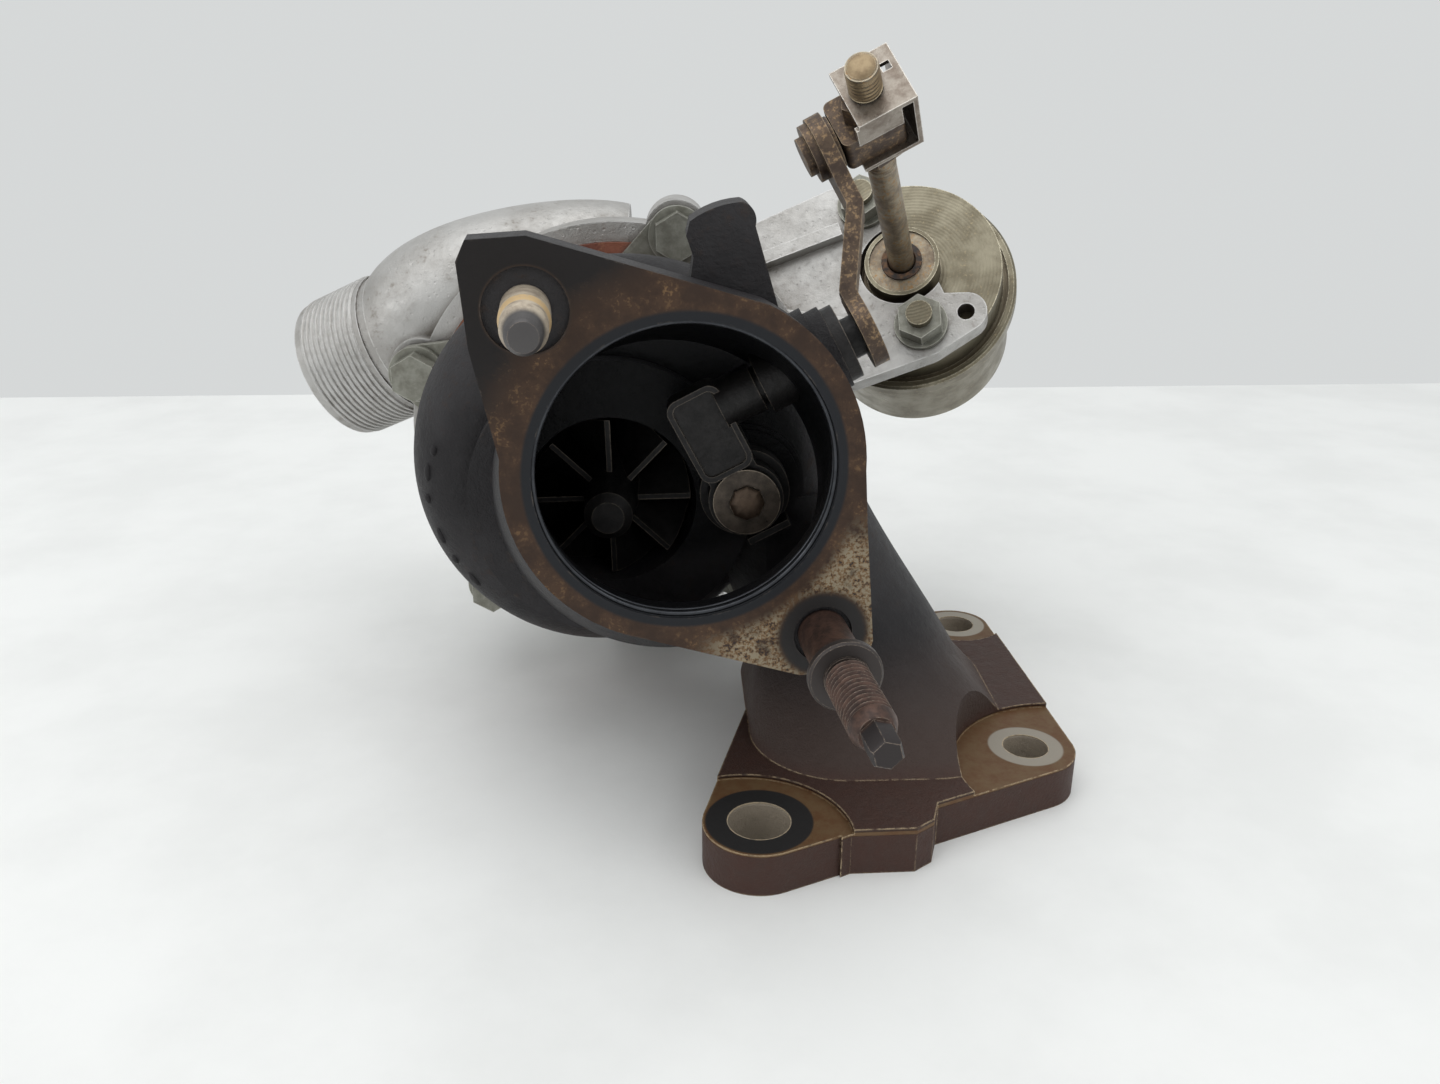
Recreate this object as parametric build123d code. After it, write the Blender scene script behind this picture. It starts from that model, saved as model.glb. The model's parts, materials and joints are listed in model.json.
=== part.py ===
from build123d import *
import math
import os

# Turbocharger of a small petrol engine, with a vacuum actuator that works an internal wastegate.
# Frame: +Z up, millimetres. The origin is the centre of the exhaust inlet port on the mating face of
# the manifold flange. The rotor axis is parallel to Y and the exhaust outlet faces -Y.

# ---- rotor axis and the stations along it ----
ROTOR_X, ROTOR_Z = -60.5, 62.0
ROTOR = Axis((ROTOR_X, 0, ROTOR_Z), (0, 1, 0))
CHAMBER_FLOOR_Y = -11.0
VOLUTE_Y = 7.0
TURBINE_BACK_Y = 22.0
DISC_FRONT_Y = 39.0
DISC_BACK_Y = 46.0
INLET_END_Y = 108.0

# ---- exhaust outlet ----
OUTLET_CENTRE = Vector(-45.1, -49.0, 79.1)
OUTLET_TURN = 6.0
OUTLET_BORE_R = 26.1
OUTLET_NECK_R = 31.0
PLATE_THICK = 8.5
STUD_R = 4.0
STUD_ROOT_R = 3.5
STUD_DEPTH = 15.5
SHORT_STUD_END = 17.5
LONG_SHANK_R = 4.6
COLLAR_AT = 15.0
LONG_STUD_END = 35.5
SHORT_STUD_AT = (-25.3, 28.3)
LONG_STUD_AT = (24.3, -31.0)
CHAMBER_CENTRE = (-49.0, 64.0)
CHAMBER_R = 31.0
WALL = 4.5

# ---- turbine ----
EXDUCER_BORE_R = 17.0
EXDUCER_R = 16.4
TURBINE_TIP_R = 20.0
TURBINE_BLADES = 8
VOLUTE_THROAT_R = 22.0
TURBINE_FLANGE_R = 34.0
TURBINE_RIM_R = 38.0
TURBINE_BOLT_R = 35.0
TURBINE_BOLT_ANGLES = [45.0, 135.0, 225.0, 315.0]

# ---- manifold flange: hole centres and radii ----
FLANGE_THICK = 10.0
SPOTFACE_Z = 9.0
HOLES = [(-32.1, -47.2, 6.05, 11.0), (27.1, -22.6, 4.72, 10.4), (26.5, 39.1, 4.72, 8.6),
         (-11.5, 32.0, 4.72, 9.8)]
SPOTFACE_CUTS = [(-35.0, -53.0, 20.5, 28.0), (36.0, -32.0, 26.0, 28.0), (26.5, 39.1, 12.0, 30.0),
                 (-11.5, 32.0, 8.5, 14.0)]
PORT_SIZE = 36.0
PORT_CORNER_R = 11.0

# ---- wastegate ----
SPINDLE_TILT = 27.3
SPINDLE_DIR = Vector(math.cos(math.radians(SPINDLE_TILT)), 0, math.sin(math.radians(SPINDLE_TILT)))
SPINDLE_INNER = Vector(-42.5, -19.5, 81.8)
SPINDLE_R = 4.0
FIT = 0.05
FLAP_R = 9.0
FLAP_REACH = 19.0
SEAT_Y = -13.0
GATE_HOLE_R = 7.0
LEVER_STATION = 34.0
LEVER_THICK = 3.0
LEVER_JOGGLE = 8.4
LEVER_LENGTH = 35.0
SWING = 25.0
PIN_R = 3.0
BLOCK_CLEARANCE = 0.7

# ---- actuator ----
ROD_ROUGH = Vector(-0.2815, -0.790, 0.5445)
ROD_R = 3.0
CAN_R = 26.5
CAN_SHELL_R = 24.0
HUB_DISTANCE = 60.0
CAN_STUDS = [(-1.5, 18.5), (-3.0, -16.5)]
BRACKET_THICK = 5.0
BRACKET_ROOTS = [(-31.0, 16.0), (-46.0, 22.0), (-34.0, -4.0)]
BRACKET_LUG = (7.5, -18.5)
PISTON_HEIGHT = -17.2

# ---- compressor ----
BOLT_CIRCLE_R = 50.0
BOLT_ANGLES = [73.0, 161.0, 229.0, 311.0]
CENTRE_DISC_R = 46.0
NOZZLE_R = 18.0
NOZZLE_DIR = Vector(-0.88, 0.25, -0.40).normalized()
NOZZLE_START = Vector(-114.0, 62.0, 82.0)
NOZZLE_LENGTH = 22.0
NOZZLE_NECK = 2.5

# ---- centre housing and rotor ----
BORE_R = 8.0
SHAFT_R = 4.5
THROUGH_R = 3.0
SPIGOT_R = 36.0
THRUST_R = 20.0
WAIST_Y = 33.0
FEED_ANGLE = 100
FEED_R = 4.0
DRAIN_R = 6.5
DRAIN_FACE_R = 46.0
DRAIN_DEPTH = 14.0
DRAIN_SCREW_PITCH = 24.0

os.makedirs("parts", exist_ok=True)


def save(name, shape):
    """Write one node. A node is a single solid or a group of separate solids."""
    solids = shape.solids()
    whole = solids[0] if len(solids) == 1 else Compound(children=list(solids))
    export_step(whole, f"parts/{name}.step")


def rod(start, direction, radius, length):
    """A round bar from a point along a direction."""
    return Plane(origin=start, z_dir=direction) * Cylinder(
        radius, length, align=(Align.CENTER, Align.CENTER, Align.MIN))


def tube(start, direction, outer, inner, length):
    """A round bar with a hole right through."""
    slack = 1.0
    start = Vector(*start)
    unit = Vector(*direction).normalized()
    return rod(start, unit, outer, length) - rod(start - unit * slack, unit, inner, length + 2 * slack)


def hexagon(start, direction, flats, length):
    """A hexagonal prism, sized across its flats."""
    face = Plane(origin=start, z_dir=direction) * RegularPolygon(flats / 2, 6, major_radius=False)
    return extrude(face, amount=length, dir=Vector(*direction).normalized())


def turned(points, axis_x=ROTOR_X, axis_z=ROTOR_Z):
    """A solid of revolution about a line parallel to Y, from (radius, y) points."""
    outline = Polyline([(axis_x + radius, y, axis_z) for radius, y in points], close=True)
    return revolve(make_face(outline), axis=Axis((axis_x, 0, axis_z), (0, 1, 0)), revolution_arc=360)


def about_rotor(radius, angle, y):
    """The point at a radius and an angle round the rotor; 0 points to +X and 90 to +Z."""
    turn = math.radians(angle)
    return Vector(ROTOR_X + radius * math.cos(turn), y, ROTOR_Z + radius * math.sin(turn))


def circle_at(centre, direction, radius):
    """A round section for a loft."""
    return Plane(origin=centre, x_dir=(0, 1, 0.001), z_dir=direction) * Circle(radius)


def outlet_plane(depth=0.0):
    """Plane of the outlet face; local x is to the right, y is up and z leaves the face."""
    turn = math.radians(OUTLET_TURN)
    out = Vector(math.sin(turn), -math.cos(turn), 0)
    return Plane(origin=OUTLET_CENTRE - out * depth, x_dir=(math.cos(turn), math.sin(turn), 0), z_dir=out)


OUT = outlet_plane().z_dir


def outlet_point(at, depth=0.0):
    """A point of the outlet face, moved into the plate by a depth."""
    return outlet_plane(depth).from_local_coords(Vector(at[0], at[1], 0))


# ---- linkage geometry ----
ROD_DIR = (ROD_ROUGH - SPINDLE_DIR * ROD_ROUGH.dot(SPINDLE_DIR)).normalized()
ACROSS = ROD_DIR.cross(SPINDLE_DIR).normalized()
REST_ANGLE = math.radians(90.0 - SWING / 2)
LEVER_DIR = ROD_DIR * math.cos(REST_ANGLE) + ACROSS * math.sin(REST_ANGLE)
ACROSS_LEVER = SPINDLE_DIR.cross(LEVER_DIR).normalized()
FLAP_DIR = Vector(SPINDLE_DIR.Z, 0, -SPINDLE_DIR.X)


def along_spindle(station):
    """The point of the spindle axis at a distance from its inner end."""
    return SPINDLE_INNER + SPINDLE_DIR * station


EYE_STATION = LEVER_STATION + LEVER_JOGGLE
PIN_WASHER_THICK = 0.8
BLOCK_LEFT = 7.6
BLOCK_STATION = EYE_STATION + LEVER_THICK + PIN_WASHER_THICK + 0.3 + BLOCK_LEFT
PIN_START = along_spindle(EYE_STATION) + LEVER_DIR * LEVER_LENGTH
MEAN_ARM = LEVER_LENGTH * (1 + math.sin(REST_ANGLE)) / 2
BLOCK_CENTRE = (along_spindle(BLOCK_STATION) + ACROSS * MEAN_ARM
                + ROD_DIR * LEVER_LENGTH * math.cos(REST_ANGLE))
HUB = BLOCK_CENTRE - ROD_DIR * HUB_DISTANCE


def can_plane(height=0.0):
    """Plane square to the actuator rod; height is measured from the can's hub towards the lever."""
    return Plane(origin=HUB + ROD_DIR * height, x_dir=SPINDLE_DIR, z_dir=ROD_DIR)


def in_can(x, y, height):
    """A point given in the can's own plane."""
    return can_plane(height).from_local_coords(Vector(x, y, 0))




# ================= turbine housing =================

def outlet_plate():
    """The two-eared outlet flange; its round sides follow the bore."""
    with BuildSketch() as face:
        with BuildLine():
            top = Polyline((-OUTLET_NECK_R, 4.4), (-34.5, 22.5), (-35.4, 36.0), (-33.8, 39.2),
                           (-24.6, 39.7), (13.6, 28.3))
            side = RadiusArc(top @ 1, (30.9, -0.3), 31.0)
            ear = Polyline(side @ 1, (31.7, -11.3), (33.7, -33.0), (32.2, -38.6), (20.2, -39.0),
                           (-8.8, -29.4))
            RadiusArc(ear @ 1, top @ 0, 31.0)
        make_face()
    return extrude(outlet_plane(PLATE_THICK) * face.sketch, amount=PLATE_THICK, dir=OUT)


def outlet_chamber(radius_out, radius_in, front, back):
    """The chamber between the outlet face and the wheel, as one slanting cone."""
    sections = [outlet_plane(front) * Circle(radius_out),
                Plane(origin=(CHAMBER_CENTRE[0], back, CHAMBER_CENTRE[1]),
                       z_dir=(0, -1, 0)) * Circle(radius_in)]
    return loft(sections)


def passage_radius(angle):
    """Radius of the turbine volute's round passage; it shrinks as the gas is used up."""
    widest, narrowest = 12.5, 4.5
    return widest - (widest - narrowest) * angle / 330.0


def turbine_volute(extra):
    """The scroll round the wheel, from the inlet duct anticlockwise."""
    sections = []
    for angle in range(0, 331, 30):
        radius = passage_radius(angle)
        centre = about_rotor(VOLUTE_THROAT_R + radius, angle, VOLUTE_Y)
        turn = math.radians(angle)
        sections.append(circle_at(centre, (-math.sin(turn), 0, math.cos(turn)), radius + extra))
    return loft(sections)


def inlet_duct(extra):
    """The duct from the manifold flange up to the start of the volute."""
    radius = passage_radius(0)
    start = about_rotor(VOLUTE_THROAT_R + radius, 0, VOLUTE_Y)
    heights = [(start.X, start.Y, start.Z, radius), (-18.5, 6.5, 45.0, 14.5), (-9.5, 4.0, 28.0, 16.5),
               (-1.5, 1.0, FLANGE_THICK, 18.5)]
    sections = [Plane(origin=(x, y, z)) * Circle(radius + extra) for x, y, z, radius in heights]
    return loft(sections)


def manifold_flange():
    """Foot flange: the hull of four round corners with a cast tongue on its front edge."""
    corners = [Pos(x, y) * Circle(corner_r) for x, y, _, corner_r in HOLES]
    hull = make_hull([edge for corner in corners for edge in corner.edges()])
    tongue = make_face(Polyline((-17.0, -53.4), (-15.0, -52.4), (-2.4, -52.2), (1.4, -49.5), (3.3, -44.0),
                                (0, -30.0), (-17.0, -30.0), close=True))
    foot = extrude(hull + tongue, amount=FLANGE_THICK)
    skirt_sections = [Plane(origin=(-3, -2, SPOTFACE_Z)) * RectangleRounded(58, 70, 20),
                      Plane(origin=(-9, 3, 26)) * RectangleRounded(41, 43, 19)]
    skirt = loft(skirt_sections)
    return foot + skirt


def spotfaces():
    """Flat seats for the nuts, cut down into the cast skin round each hole by wide and narrow cutters."""
    return [rod((x, y, SPOTFACE_Z), (0, 0, 1), cut_r, cut_depth) for x, y, cut_r, cut_depth in SPOTFACE_CUTS]


def top_lug():
    """Cast lug on top of the chamber, narrower and rounded at its crown."""
    with BuildSketch(Plane.XZ.offset(25.0)) as face:
        with BuildLine():
            left = Polyline((-46.0, 98.0), (-43.6, 113.5), (-44.8, 117.0), (-44.2, 119.4))
            crown = ThreePointArc(left @ 1, (-39.0, 121.9), (-35.4, 122.5))
            corner = ThreePointArc(crown @ 1, (-33.9, 121.6), (-33.2, 118.6))
            Polyline(corner @ 1, (-27.0, 98.0), left @ 0)
        make_face()
    return extrude(face.sketch, amount=11.0)


def spindle_boss():
    """Stepped boss that carries the wastegate spindle's bush."""
    steps = [(14.0, 21.5, 11.5), (20.0, 26.0, 9.5), (25.0, 29.0, 8.2)]
    boss = None
    for start, end, radius in steps:
        piece = rod(along_spindle(start), SPINDLE_DIR, radius, end - start)
        boss = piece if boss is None else boss + piece
    return boss


def flap_centre(y):
    """Centre of the wastegate's flap at a station along Y."""
    spot = along_spindle(0.5) + FLAP_DIR * FLAP_REACH
    return Vector(spot.X, y, spot.Z)


def turbine_housing():
    """One iron casting: outlet plate, chamber, volute, duct and manifold flange."""
    body = outlet_plate() + outlet_chamber(OUTLET_NECK_R, CHAMBER_R + WALL, PLATE_THICK - 2, CHAMBER_FLOOR_Y)
    body += turbine_volute(WALL)
    body += inlet_duct(WALL + 1)
    body += turned([(0, CHAMBER_FLOOR_Y - 1), (EXDUCER_BORE_R + 12, CHAMBER_FLOOR_Y - 1), (30, VOLUTE_Y),
                    (TURBINE_FLANGE_R, 16), (38, 17), (38, TURBINE_BACK_Y), (0, TURBINE_BACK_Y)])
    body += manifold_flange() + top_lug() + spindle_boss()
    body += rod(flap_centre(SEAT_Y + 6), (0, -1, 0), FLAP_R + 2.5, 6)
    body = body.fuse(rod(flap_centre(4), (0, -1, 0), FLAP_R + 3.5, 14)).solids()[0]
    mouth = 7.0
    inside = [outlet_chamber(OUTLET_BORE_R, CHAMBER_R, mouth, CHAMBER_FLOOR_Y) - gate_seat_column()]
    inside.append(rod(outlet_plane(mouth + 0.5).origin, OUT, OUTLET_BORE_R, mouth + 2))
    inside += [turbine_volute(0), inlet_duct(0)]
    port = Plane(origin=(0, 0, -1)) * RectangleRounded(PORT_SIZE, PORT_SIZE, PORT_CORNER_R)
    inside.append(loft([port, Plane(origin=(-1.5, 1.0, FLANGE_THICK + 0.5)) * Circle(18.5)]))
    inside.append(turned([(0, CHAMBER_FLOOR_Y - 8), (EXDUCER_BORE_R + 2, CHAMBER_FLOOR_Y - 8),
                          (EXDUCER_BORE_R, CHAMBER_FLOOR_Y + 3), (EXDUCER_BORE_R, -1),
                          (TURBINE_TIP_R + 0.6, 4.5), (VOLUTE_THROAT_R + 4, 4.5), (VOLUTE_THROAT_R + 4, 12.5),
                          (TURBINE_TIP_R + 4, 12.5), (TURBINE_TIP_R + 4, 17), (31.05, 17),
                          (31.05, TURBINE_BACK_Y + 1), (0, TURBINE_BACK_Y + 1)]))
    inside.append(rod(flap_centre(6), (0, -1, 0), GATE_HOLE_R, 30))
    inside.append(rod(along_spindle(5), SPINDLE_DIR, 6.0, 60))
    inside += [rod((x, y, -1), (0, 0, 1), hole_r, 40) for x, y, hole_r, _ in HOLES]
    inside += spotfaces()
    for at in (SHORT_STUD_AT, LONG_STUD_AT):
        inside.append(rod(outlet_point(at, STUD_DEPTH + 0.5), OUT, STUD_ROOT_R, 20))
    inside.append(rod(outlet_point(SHORT_STUD_AT, 0.8), OUT, 6.9, 5))
    inside.append(rod(outlet_point(LONG_STUD_AT, 0.8), OUT, LONG_SHANK_R + 0.8, 5))
    inside.append(outlet_plane(1.6) * extrude(Circle(OUTLET_BORE_R + 1.1), amount=0.8))
    for angle in TURBINE_BOLT_ANGLES:
        inside.append(rod(about_rotor(TURBINE_BOLT_R, angle, 10), (0, 1, 0), 2.5, 20))
    inside.append(turned([(15, TURBINE_BACK_Y), (TURBINE_RIM_R + 0.6, TURBINE_BACK_Y),
                          (TURBINE_RIM_R + 0.6, 40), (15, 40)]))
    for cut in inside:
        body = body - cut
    return max(body.solids(), key=lambda solid: solid.volume)


def gate_seat_column():
    """The raised seat that stands out of the chamber's floor round the wastegate hole."""
    return rod(flap_centre(CHAMBER_FLOOR_Y + 4), (0, -1, 0), FLAP_R, CHAMBER_FLOOR_Y + 4 - SEAT_Y)


def outlet_studs():
    """The two outlet studs: a bare nose on the short one, a collar and thread on the long one."""
    short = rod(outlet_point(SHORT_STUD_AT, STUD_DEPTH), OUT, STUD_ROOT_R, STUD_DEPTH + 1)
    short += rod(outlet_point(SHORT_STUD_AT, -1), OUT, STUD_R, SHORT_STUD_END - 1)
    short += rod(outlet_point(SHORT_STUD_AT, -SHORT_STUD_END), OUT, 2.8, 5)
    save("outlet_stud_short", short)
    collar_thick = 2.0
    thread_from = COLLAR_AT + collar_thick + 1
    long_stud = rod(outlet_point(LONG_STUD_AT, STUD_DEPTH), OUT, STUD_ROOT_R, STUD_DEPTH + thread_from)
    long_stud += rod(outlet_point(LONG_STUD_AT, 0), OUT, LONG_SHANK_R, COLLAR_AT)
    long_stud += rod(outlet_point(LONG_STUD_AT, -COLLAR_AT), OUT, 6.5, collar_thick)
    long_stud += rod(outlet_point(LONG_STUD_AT, -thread_from), OUT, STUD_R, LONG_STUD_END - thread_from)
    long_stud += hexagon(outlet_point(LONG_STUD_AT, -LONG_STUD_END), OUT, 5.0, 6)
    save("outlet_stud_long", long_stud)


# ================= wastegate =================

def wastegate():
    """Bush, spindle with its arm, flap, washer and the outer lever."""
    bush = tube(along_spindle(13.5), SPINDLE_DIR, 6.0, SPINDLE_R + FIT, 17.5)
    bush += tube(along_spindle(29.0), SPINDLE_DIR, 7.4, SPINDLE_R + FIT, 2.4)
    save("wastegate_bush", bush)

    arm_depth = 6.0
    arm_plane = Plane(origin=SPINDLE_INNER + SPINDLE_DIR * 0.5, x_dir=SPINDLE_DIR, z_dir=(0, -1, 0))
    arm_back = Vector(0, arm_depth / 2, 0)
    slab_face = Pos(0, -3.4) * RectangleRounded(11, 17.8, 2.5)
    slab = Location(arm_back) * extrude(arm_plane * slab_face, amount=arm_depth, dir=(0, -1, 0))
    rim_face = slab_face - Pos(0, -3.4) * RectangleRounded(8.8, 15.6, 1.6)
    rim = Location(-arm_back) * extrude(arm_plane * rim_face, amount=0.6, dir=(0, -1, 0))
    ring_y = SEAT_Y - 3.6
    ring = rod(flap_centre(ring_y), (0, -1, 0), 7.4, 4.0)
    neck_plane = Plane(origin=flap_centre(ring_y), x_dir=SPINDLE_DIR, z_dir=(0, -1, 0))
    neck = extrude(neck_plane * Pos(0, 7.0) * Rectangle(10, 6), amount=4.0, dir=(0, -1, 0))
    arm = slab + rim + ring + neck
    arm += rod(along_spindle(4.5), SPINDLE_DIR, 4.9, 8.0)
    arm += rod(along_spindle(5), SPINDLE_DIR, SPINDLE_R, LEVER_STATION + LEVER_THICK - 5)
    arm -= rod(flap_centre(SEAT_Y + 1), (0, -1, 0), 3.4, 20)
    save("wastegate_arm", arm)

    flap = rod(flap_centre(SEAT_Y - 0.02), (0, -1, 0), FLAP_R, 3.2)
    flap += rod(flap_centre(SEAT_Y - 0.02), (0, -1, 0), 3.2, 10.0)
    bar_spot = flap_centre(SEAT_Y - 3.0) + SPINDLE_DIR * 1.0 + FLAP_DIR * 8.1
    bar = Plane(origin=bar_spot, x_dir=SPINDLE_DIR, z_dir=(0, -1, 0)) * Rectangle(9.0, 1.4)
    flap += extrude(bar, amount=5.0, dir=(0, -1, 0))
    save("wastegate_flap", flap)

    washer = tube(flap_centre(ring_y - 4.05), (0, -1, 0), 6.6, 3.25, 1.6)
    save("flap_washer", washer)


def lever_outline(length, end_r, root_r):
    """A flat link with two round ends, in the plane of the spindle's end."""
    return make_hull([edge for edge in (Circle(root_r).edges() + (Pos(length, 0) * Circle(end_r)).edges())])


def wastegate_lever():
    """The joggled lever: a ring on the spindle, a slanting web and an eye for the pin."""
    root_plane = Plane(origin=along_spindle(LEVER_STATION), x_dir=LEVER_DIR, z_dir=SPINDLE_DIR)
    eye_plane = Plane(origin=along_spindle(EYE_STATION), x_dir=LEVER_DIR, z_dir=SPINDLE_DIR)
    root_end, eye_start = 4.0, LEVER_LENGTH - 9.0
    root = extrude(root_plane * lever_outline(root_end, 4.5, 7.0), amount=LEVER_THICK, dir=SPINDLE_DIR)
    eye_face = eye_plane * Pos(eye_start, 0) * lever_outline(LEVER_LENGTH - eye_start, 6.2, 4.5)
    eye = extrude(eye_face, amount=LEVER_THICK, dir=SPINDLE_DIR)
    rise, run, start = LEVER_JOGGLE, 14.0, 8.0
    side = Plane(origin=along_spindle(LEVER_STATION) + ACROSS_LEVER * -4.5, x_dir=LEVER_DIR,
                 z_dir=ACROSS_LEVER)
    turn_up = side.y_dir.dot(SPINDLE_DIR)
    web = Polyline((root_end, 0), (start, 0), (start + run, turn_up * rise), (eye_start, turn_up * rise),
                   (eye_start, turn_up * (rise + LEVER_THICK)),
                   (start + run - 1, turn_up * (rise + LEVER_THICK)), (start - 1, turn_up * LEVER_THICK),
                   (root_end, turn_up * LEVER_THICK), close=True)
    lever = root + eye + extrude(side * make_face(web), amount=9.0, dir=ACROSS_LEVER)
    lever -= rod(along_spindle(LEVER_STATION - 1), SPINDLE_DIR, SPINDLE_R, LEVER_THICK + 2)
    lever -= rod(PIN_START - SPINDLE_DIR, SPINDLE_DIR, PIN_R, LEVER_THICK + 2)
    save("wastegate_lever", lever)


def lever_pin():
    """Headed pin riveted in the lever's eye, with a washer against the block."""
    pin = rod(PIN_START - SPINDLE_DIR * 1.6, SPINDLE_DIR, 5.6, 1.6)
    pin += rod(PIN_START - SPINDLE_DIR * 3.0, SPINDLE_DIR, 3.8, 2.0)
    pin += rod(PIN_START - SPINDLE_DIR * 0.1, SPINDLE_DIR, PIN_R, LEVER_THICK + PIN_WASHER_THICK + 3.9)
    save("lever_pin", pin)
    save("pin_washer", tube(PIN_START + SPINDLE_DIR * LEVER_THICK, SPINDLE_DIR, 5.0, PIN_R, PIN_WASHER_THICK))


# ================= rod end =================

def rod_end():
    """The clevis block, its two nuts and the folded sheet clip that keeps them from turning."""
    plane = Plane(origin=BLOCK_CENTRE, x_dir=SPINDLE_DIR, z_dir=ROD_DIR)
    block_right, block_width, block_high = 5.0, 10.5, 8.0
    shift = (block_right - BLOCK_LEFT) / 2
    face = Pos(shift, 0) * RectangleRounded(BLOCK_LEFT + block_right, block_width, 1.4)
    block = extrude(plane.offset(-block_high / 2) * face, amount=block_high, dir=ROD_DIR)
    block -= rod(BLOCK_CENTRE - ROD_DIR * 10, ROD_DIR, ROD_R, 20)
    pin_mouth = BLOCK_CENTRE - SPINDLE_DIR * (BLOCK_LEFT + 1)
    block -= rod(pin_mouth, SPINDLE_DIR, PIN_R + BLOCK_CLEARANCE, 4.9)
    save("clevis_block", block)

    bore = rod(BLOCK_CENTRE - ROD_DIR * 20, ROD_DIR, ROD_R, 60)
    top = BLOCK_CENTRE + ROD_DIR * (block_high / 2)
    save("adjusting_nut", hexagon(top, ROD_DIR, 9.4, 4.6) - bore)
    bottom = BLOCK_CENTRE - ROD_DIR * (block_high / 2 + 1.0)
    save("lock_nut", hexagon(bottom - ROD_DIR * 3.6, ROD_DIR, 9.6, 3.6) - bore)

    sheet, reach, clip_width = 1.0, 7.2, 13.0
    low, high = -block_high / 2 - sheet, block_high / 2 + 4.6 + sheet
    side = plane.offset(low) * Pos(reach - sheet / 2, 0) * Rectangle(sheet, clip_width)
    clip = extrude(side, amount=high - low, dir=ROD_DIR)
    for height, left in ((low, -5.0), (high - sheet, -4.4)):
        tab = plane.offset(height) * Pos((reach + left) / 2, 0) * Rectangle(reach - left, clip_width)
        clip += extrude(tab, amount=sheet, dir=ROD_DIR)
    lip = plane.offset(high - sheet) * Pos(-0.5, -clip_width / 2 + sheet / 2) * Rectangle(9.0, sheet)
    clip += extrude(lip, amount=-4.6, dir=ROD_DIR)
    clip -= bore
    window = plane.offset(high - 2 * sheet) * Pos(5.0, 2.2) * Rectangle(1.8, 1.8)
    clip -= extrude(window, amount=3 * sheet, dir=ROD_DIR)
    save("lock_clip", clip)


# ================= actuator =================

def in_can_plane(shape, height=0.0):
    """Move a shape drawn about the origin to the can, at a height above the hub."""
    return can_plane(height).location * shape


def can_turned(points):
    """A solid of revolution about the actuator rod, from (radius, height) points."""
    outline = Polyline([(radius, 0, height) for radius, height in points], close=True)
    return in_can_plane(revolve(make_face(outline), axis=Axis.Z, revolution_arc=360))


def actuator_can():
    """Front and rear pressings, hub ring, rubber seal and the two welded studs."""
    front = can_turned([(7.8, -6.0), (22.0, -6.0), (22.0, -16.0), (25.6, -16.0), (25.6, -15.0),
                        (23.2, -15.0), (23.2, -5.0), (8.8, -5.0), (8.8, 1.5), (7.8, 1.5)])
    save("actuator_front_cup", front)
    rim_top, rim_in = -14.0, 24.6
    rear = can_turned([(0, -45.0), (CAN_SHELL_R - 1.5, -45.0), (CAN_SHELL_R, -43.5), (CAN_SHELL_R, -19.0),
                       (CAN_R - 0.6, -19.0), (CAN_R, -18.3), (CAN_R, rim_top - 0.6), (CAN_R - 0.6, rim_top),
                       (rim_in, rim_top), (rim_in, -15.0), (25.6, -15.0), (25.6, -18.0), (23.0, -18.0),
                       (23.0, -43.0), (22.0, -44.0), (0, -44.0)])
    nipple_at = in_can(12.0, -8.0, -40.0)
    rear -= rod(nipple_at, -ROD_DIR, 2.6, 10)
    save("actuator_rear_cup", rear)
    nipple = rod(nipple_at - ROD_DIR * 2.5, -ROD_DIR, 2.6, 4)
    nipple += rod(nipple_at - ROD_DIR * 5.5, -ROD_DIR, 3.0, 11)
    nipple -= rod(nipple_at, -ROD_DIR, 1.4, 30)
    save("vacuum_nipple", nipple)
    ring = can_turned([(4.8, -5.0), (7.8, -5.0), (7.8, 1.0), (4.8, 1.0)])
    save("hub_ring", ring)
    save("rod_seal", can_turned([(ROD_R + FIT, -4.0), (4.8, -4.0), (4.8, 1.6), (ROD_R + FIT + 0.4, 1.6),
                                 (ROD_R + FIT, 0.8)]))
    studs = [rod(in_can(x, y, -BRACKET_THICK), ROD_DIR, 3.0, BRACKET_THICK + 7.5) for x, y in CAN_STUDS]
    save("actuator_studs", Compound(children=studs))
    nuts = []
    for x, y in CAN_STUDS:
        nut = rod(in_can(x, y, 0.05), ROD_DIR, 6.2, 1.3) + hexagon(in_can(x, y, 1.3), ROD_DIR, 9.6, 4.2)
        nuts.append(nut - rod(in_can(x, y, -1), ROD_DIR, 3.0, 20))
    save("actuator_nuts", Compound(children=nuts))


def actuator_inside():
    """Rod, piston plate, diaphragm and return spring."""
    bar = rod(in_can(0, 0, PISTON_HEIGHT - 3.5), ROD_DIR, ROD_R, HUB_DISTANCE - PISTON_HEIGHT + 3.5 + 16.0)
    save("actuator_rod", bar)
    piston = can_turned([(ROD_R, -17.2), (17.0, -17.2), (18.2, -21.0), (17.2, -21.2), (16.2, -18.4),
                         (ROD_R, -18.4)])
    save("actuator_piston", piston)
    save("actuator_diaphragm", can_turned([(ROD_R, -16.1), (25.5, -16.1), (25.5, -17.1), (ROD_R, -17.1)]))
    coil_low, coil_high, wire = -42.9, -19.5, 0.9
    helix = Helix(pitch=5.8, height=coil_high - coil_low, radius=15.0, cone_angle=-8)
    start = helix @ 0
    profile = Plane(origin=start, z_dir=helix % 0) * Circle(wire)
    save("actuator_spring", in_can_plane(sweep(profile, path=helix), coil_low))


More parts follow.
